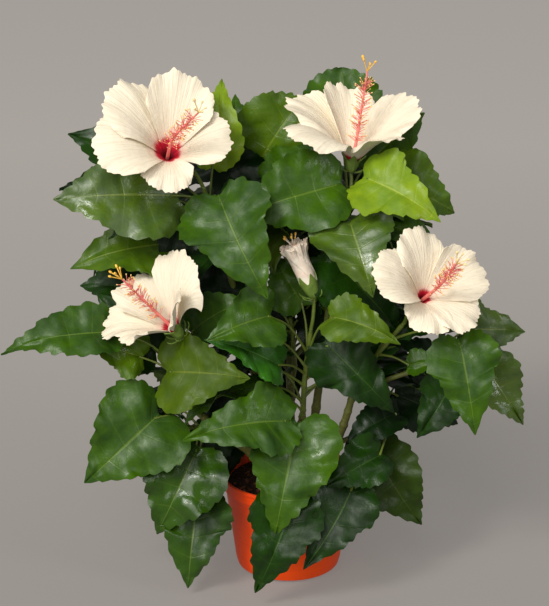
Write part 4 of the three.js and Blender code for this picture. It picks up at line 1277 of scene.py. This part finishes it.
def storedMesh(name, store, finishes):
    return meshObject(name, np.concatenate(store["places"]), store["faces"], finishes, store["slots"],
                      np.concatenate(store["uvs"]), sharp=50)


for name, bloom in blooms.items():
    f = dict(bloomFrame(bloom), throat=bloom["throat"], tip=np.array(bloom["tip"], float))
    store = newStore()
    for k, one in enumerate(bloom["petals"]):
        grid, uv = petalGrid(f, one, bloom["seed"] * 10 + k)
        half = np.full(grid.shape[:2], petal["thickness"] / 2)
        places, faces, _ = thinBody(grid, half, half)
        addParts(store, places, faces.tolist(), np.concatenate([uv.reshape(-1, 2)] * 2), 0)
    calyxParts(store, f, bloom["seed"] * 0.37, 1, calyx["profile"], calyx["flare"])
    piece = storedMesh(name + "_petals", store, [petalFinish, calyxFinish])
    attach(piece, "root")
    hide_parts(name)

    heart = columnLine(f)
    girth = between((stamen["foot"], stamen["tip"]), np.linspace(0, 1, stamen["steps"]))
    columnStrand = (heart.sample(stamen["steps"]), girth)
    columnPiece = limbMesh(name + "_column", [columnStrand], "column", columnFinish)
    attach(columnPiece, "root")

    spots, aims = [], []
    for k in range(stamen["threads"]):
        share = between((stamen["from"], stamen["to"]), chance(k, bloom["seed"] + 0.4) ** 0.85)
        turnAt = k * dealt["golden"]
        outward = unit(inBloom(f, turnAt, 1, 0) - inBloom(f, 0, 0, 0))
        spots.append(heart.point(share))
        aims.append(outward + heart.tangent(share) * (0.35 + 0.5 * chance(k, bloom["seed"] + 0.6)))
    threads = threadMesh(name + "_stamens", spots, aims, stamen["size"], bloom["seed"], columnFinish,
                         antherFinish)
    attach(threads, "root")

    padFinish = paleStigmaFinish if "pale" in bloom else stigmaFinish
    pads = padMesh(name + "_stigmas", f, heart.point(1), stigma, bloom["seed"] + 7, padFinish, padFinish)
    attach(pads, "root")

# the opening bud: petals rolled round each other, flaring to a ruffled mouth
budForm = {"profile": ((2, 3), (8, 6.0), (17, 7.8), (26, 8.6), (36, 8.6), (44, 9.6), (50, 11.4), (54, 13.0)),
           "turns": 120, "rings": 36, "overlap": 0.2, "twist": 3.2, "petals": 5, "edge": 0.12, "slope": 0.55,
           "opensAt": 34, "opensOver": 20, "tipRise": 4.0, "ruffle": (0.8, 0.5), "fringe": 0.5, "fold": 1.5,
           "inner": ((0.94, 0.5), (0.86, 2.5), (0.76, 3.5), (0.66, 0.5), (0.56, 2.5), (0.46, 3.0), (0.34, 0),
                     (0.2, 1), (0.1, 1))}
f = bloomFrame(bud)
store = newStore()
turns = np.arange(budForm["turns"]) * 360 / budForm["turns"]
heights, radii = np.array(budForm["profile"], float).T
outer = []
for height in np.linspace(heights[0], heights[-1], budForm["rings"]):
    opened = np.clip((height - budForm["opensAt"]) / budForm["opensOver"], 0, 1)
    wrap = ((turns + height * budForm["twist"]) / 360 * budForm["petals"]) % 1
    edge = np.clip(wrap / budForm["edge"], 0, 1) * (1 - budForm["slope"] * wrap)
    out = np.interp(height, heights, radii) * (1 + budForm["overlap"] * (edge - 0.6))
    wide, fine = budForm["ruffle"]
    ruffle = wide * np.sin(np.radians(turns * 11 + 40)) + fine * np.sin(np.radians(turns * 23))
    rise = budForm["tipRise"] * (np.sin(math.pi * wrap) - 0.5)
    rise = rise + budForm["fringe"] * np.sin(np.radians(turns * 17))
    outer.append(inBloom(f, turns, out + opened ** 2 * ruffle, height + opened ** 2 * rise))
outer = np.array(outer)
mouth = inBloom(f, 0, 0, heights[-1])
inner = []
for narrow, sink in budForm["inner"]:
    fold = budForm["fold"] * np.sin(np.radians(turns * 5 + 300 * narrow)) * narrow
    inner.append(mouth - f["axis"] * sink + (outer[-1] - mouth) * narrow + f["axis"] * fold[:, None])
rings = np.concatenate([outer, np.array(inner)])
addParts(store, rings.reshape(-1, 3), closedRings(len(rings), budForm["turns"]), None, 0)
calyxParts(store, f, 0.3, 1, calyx["budProfile"], calyx["budFlare"])
piece = storedMesh("bud_petals", store, [budFinish, calyxFinish])
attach(piece, "root")
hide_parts("bud_centre")
pads = padMesh("bud_stigmas", f, inBloom(f, 0, 0, budStigma["height"]), budStigma, 3, budFinish, stigmaFinish)
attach(pads, "root")
print("blooms done")


# the pot
potForm = {"height": 95, "rimRadius": 65, "bandHeight": 12.5, "lipHeight": 3.5, "lipOut": 1.5,
           "wallTop": 61, "wallFoot": 51, "footRadius": 43, "footRound": 9, "wall": 3, "floor": 4,
           "round": 0.8, "sides": 128}


# rounds each corner of a profile with a short arc
def rounded(profile, size, steps=4):
    points = [np.array(p, float) for p in profile]
    out = [points[0]]
    for before, here, after in zip(points, points[1:], points[2:]):
        a, b = before - here, after - here
        reach = min(size, np.linalg.norm(a) * 0.45, np.linalg.norm(b) * 0.45)
        first, last = here + unit(a) * reach, here + unit(b) * reach
        for i in range(steps + 1):
            w = i / steps
            out.append(first * (1 - w) ** 2 + here * 2 * w * (1 - w) + last * w * w)
    return out + [points[-1]]


def turnedMesh(name, profile, sides, materials, sharp=None):
    turns = np.arange(sides) * 2 * math.pi / sides
    inside = profile[1:-1]
    rings = np.array([[(r * math.cos(a), r * math.sin(a), z) for a in turns] for r, z in inside])
    faces = ringFaces(len(inside), sides).tolist()
    count = len(inside) * sides
    places = np.concatenate([rings.reshape(-1, 3), [(0, 0, profile[0][1]), (0, 0, profile[-1][1])]])
    faces += [[(j + 1) % sides, j, count] for j in range(sides)]
    last = (len(inside) - 1) * sides
    faces += [[last + j, last + (j + 1) % sides, count + 1] for j in range(sides)]
    return meshObject(name, places, faces, materials, sharp=sharp)


potLook = {"clay": (228, 66, 2), "light": (236, 80, 8), "dull": (202, 50, 2), "rough": 0.5, "gloss": 0.25,
           "cloud": 9, "bands": 26, "grain": 300, "relief": 0.0006}


def potPaint(v):
    cloud = objectNoise(v, potLook["cloud"], 3.0, 0.55)
    fine = objectNoise(v, potLook["grain"], 2.0)
    bands = objectNoise(v, potLook["bands"], 3.0, 0.6, (0.2, 0.2, 9))
    colour = ((cloud - 0.4) * 2.2).clamped().blend(tone(*potLook["clay"]), tone(*potLook["light"]))
    colour = ((bands - 0.55) * 2.4).clamped().blend(colour, tone(*potLook["dull"]))
    return {"Base Color": colour, "Roughness": cloud * 0.2 + 0.38,
            "Normal": bump(v, bands * 0.5 + fine * 0.2, 0.25, potLook["relief"])}


potSettings = {"Roughness": potLook["rough"], "Specular IOR Level": potLook["gloss"]}
potFinish = finish("potPlastic", potSettings, potPaint)
p = potForm
bandFoot, lipFoot = p["height"] - p["bandHeight"], p["height"] - p["lipHeight"]
bandRadius = p["rimRadius"] - p["lipOut"]
outside = [(0, 0), (p["footRadius"], 0), (p["footRadius"] + 0.7 * p["footRound"], 0.3 * p["footRound"]),
           (p["wallFoot"], p["footRound"]), (p["wallTop"], bandFoot), (bandRadius, bandFoot),
           (bandRadius, lipFoot), (p["rimRadius"], lipFoot), (p["rimRadius"], p["height"])]
insideWall = [(p["rimRadius"] - p["wall"], p["height"]), (p["wallTop"] - p["wall"], bandFoot),
              (p["wallFoot"] - p["wall"], p["footRound"]), (p["footRadius"], p["floor"]), (0, p["floor"])]
profile = rounded(outside + insideWall, p["round"])
piece = turnedMesh("pot_shell", profile, p["sides"], [potFinish], sharp=40)
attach(piece, "root")
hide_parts("pot")

# soil: a lumpy top, strewn with crumbs and bits of bark
soilForm = {"radius": 57.0, "rings": 60, "sides": 150, "relief": 1.6, "sunk": 1.8, "thinned": 3,
            "below": ((56.8, 60.0), (50, 12.0), (42.0, 4.4))}
peatFinish = finish("peat", {"Roughness": 0.95, "Specular IOR Level": 0.15},
                    plainPaint((48, 32, 20), (20, 13, 9), 260, 0.0015))
chipFinish = finish("barkChip", {"Roughness": 0.85, "Specular IOR Level": 0.2},
                    plainPaint((96, 52, 30), (52, 28, 18), 420, 0.0008))
crumbFinish = finish("peatCrumb", {"Roughness": 0.95, "Specular IOR Level": 0.15},
                     plainPaint((60, 40, 26), (28, 18, 12), 500, 0.0008))


def lumps(x, y):
    return (np.sin(x * 0.21 + 1.3) * np.sin(y * 0.17 + 0.4) + 0.6 * np.sin(x * 0.47 - y * 0.31)
            + 0.4 * np.sin(x * 0.9 + y * 0.83 + 2))


shares = np.linspace(0.02, 1, soilForm["rings"])
turns = np.arange(soilForm["sides"]) * 2 * math.pi / soilForm["sides"]
x = soilForm["radius"] * shares[:, None] * np.cos(turns)
y = soilForm["radius"] * shares[:, None] * np.sin(turns)
z = soilTop - soilForm["sunk"] + soilForm["relief"] * 0.5 * lumps(x, y) * (1 - shares[:, None] ** 6)
top = np.stack([x, y, np.broadcast_to(z, x.shape)], -1)
side = [np.stack([r * np.cos(turns), r * np.sin(turns), np.full(len(turns), h)], -1)
        for r, h in soilForm["below"]]
rings = np.concatenate([top, np.array(side)])
faces = [[a, d, c, b] for a, b, c, d in ringFaces(len(rings), len(turns)).tolist()]
faces.append(list(range(len(turns))))
faces.append([(len(rings) - 1) * len(turns) + j for j in range(len(turns) - 1, -1, -1)])
soil = meshObject("soil_peat", rings.reshape(-1, 3), faces, [peatFinish])
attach(soil, "root")
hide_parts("soil")

crumbTree, start = treeStart("crumbScatter", {"Density": "float", "Smallest": "float", "Largest": "float",
                                              "Flat": "float", "Seed": "int", "Finish": "material"})
spots = start.node("GeometryNodeDistributePointsOnFaces", None,
                   {"Mesh": start.other("Base"), "Density": start.other("Density"),
                    "Seed": start.other("Seed")})
grit = start.node("GeometryNodeMeshIcoSphere", None, {"Radius": 1.0, "Subdivisions": 2})
grain = start.node("ShaderNodeTexNoise", None, {"Scale": 1.3, "Detail": 2.0}, out=1)
push = start.node("ShaderNodeVectorMath", {"operation": "SUBTRACT"}, {0: grain, 1: (0.5, 0.5, 0.5)})
grit = start.node("GeometryNodeSetPosition", None, {"Geometry": grit, "Offset": push})
shape = start.node("ShaderNodeCombineXYZ", None, {"X": 1.0, "Y": 0.7, "Z": start.other("Flat")})
grit = start.node("GeometryNodeTransform", None, {"Geometry": grit, "Scale": shape})
spin = start.node("FunctionNodeRandomValue", {"data_type": "FLOAT_VECTOR"},
                  {0: (-0.5, -0.5, 0), 1: (0.5, 0.5, 6.28), "Seed": start.other("Seed")})
size = start.node("FunctionNodeRandomValue", {"data_type": "FLOAT"},
                  {2: start.other("Smallest"), 3: start.other("Largest"),
                   "Seed": start.other("Seed") + 5}, out=1)
placed = start.node("GeometryNodeInstanceOnPoints", None, {"Points": spots, "Instance": grit,
                    "Rotation": spin, "Scale": size})
treeEnd(start, placed, start.other("Finish"))


# a disc just above the soil, a little smaller, for the strewn bits to start from
def soilDisc(name):
    n = soilForm["thinned"]
    rings = np.stack([x[::n] * 0.97, y[::n] * 0.97, np.broadcast_to(z, x.shape)[::n] + 0.3], -1)
    faces = [[a, d, c, b] for a, b, c, d in ringFaces(len(rings), len(turns)).tolist()]
    return meshObject(name, rings.reshape(-1, 3), faces, [])


strewn = {
    "soil_crumbs": {"Density": 90000.0, "Smallest": 0.0005, "Largest": 0.0017, "Flat": 0.8, "Seed": 4,
                    "Finish": crumbFinish},
    "soil_chips": {"Density": 9000.0, "Smallest": 0.0012, "Largest": 0.0036, "Flat": 0.4, "Seed": 9,
                   "Finish": chipFinish},
}
for name, values in strewn.items():
    piece = growMesh(name, soilDisc(name + "Base"), crumbTree, values)
    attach(piece, "root")
print("pot and soil done")


# floor, light and camera
stage = {"floor": (152, 147, 142), "near": (104, 99, 95), "glow": (110, 107, 104), "reach": 14.0,
         "world": (196, 194, 192), "worldStrength": 0.46}


# painted shade: the floor is a little darker before the pot than behind it
def floorPaint(v):
    grain = objectNoise(v, 6, 3.0)
    place = v.node("ShaderNodeSeparateXYZ", None, {0: v.node("ShaderNodeTexCoord", out="Object")}, out="Y")
    colour = ((place + 0.5) * 0.45).clamped().blend(tone(*stage["near"]), tone(*stage["floor"]))
    return {"Base Color": colour, "Normal": bump(v, grain, 0.3, 0.0001)}


# the floor glows with painted light of its own, which softens the shadows cast on it
floorSettings = {"Roughness": 0.9, "Specular IOR Level": 0.1, "Emission Color": tone(*stage["glow"]),
                 "Emission Strength": 1.0}
floorFinish = finish("paleFloor", floorSettings, floorPaint)
reach = stage["reach"] / mm
corners = [(-reach, -reach, 0), (reach, -reach, 0), (reach, reach, 0), (-reach, reach, 0)]
floor = meshObject("pale_floor", corners, [(0, 1, 2, 3)], [floorFinish])

world = bpy.data.worlds.new("softRoom")
world.use_nodes = True
world.node_tree.nodes["Background"].inputs["Color"].default_value = tone(*stage["world"])
world.node_tree.nodes["Background"].inputs["Strength"].default_value = stage["worldStrength"]
bpy.context.scene.world = world


def lamp(name, kind, place, target, energy, size=None, angle=None, colour=(1, 1, 1)):
    light = bpy.data.lights.new(name, kind)
    light.energy = energy
    light.color = colour
    if size:
        light.size = size
    if angle:
        light.angle = math.radians(angle)
    thing = bpy.data.objects.new(name, light)
    thing.location = place
    thing.rotation_euler = (Vector(target) - Vector(place)).to_track_quat("-Z", "Y").to_euler()
    bpy.context.scene.collection.objects.link(thing)


lamps = {
    "keySun": {"kind": "SUN", "place": (-1.1, -2.3, 1.8), "target": (0, 0, 0.2), "energy": 2.2, "angle": 54,
               "colour": (1.0, 0.975, 0.94)},
    "softBox": {"kind": "AREA", "place": (-1.5, -2.0, 2.4), "target": (0, 0, 0.25), "energy": 48, "size": 0.7,
                "colour": (1.0, 0.98, 0.95)},
    "sideBox": {"kind": "AREA", "place": (2.2, -1.5, 1.6), "target": (0, 0, 0.25), "energy": 14, "size": 0.8},
}
for name, settings in lamps.items():
    lamp(name, **settings)

cameraAt = {"place": (-0.0134, -1.6, 0.805), "tilt": 71.4, "lens": 107.17, "sensor": 36, "far": 100}
camera = bpy.data.cameras.new("camera")
camera.lens = cameraAt["lens"]
camera.sensor_width = cameraAt["sensor"]
camera.clip_end = cameraAt["far"]
cameraObject = bpy.data.objects.new("camera", camera)
cameraObject.location = cameraAt["place"]
cameraObject.rotation_euler = (math.radians(cameraAt["tilt"]), 0, 0)
bpy.context.scene.collection.objects.link(cameraObject)
bpy.context.scene.camera = cameraObject
bpy.context.scene.view_settings.view_transform = "Standard"
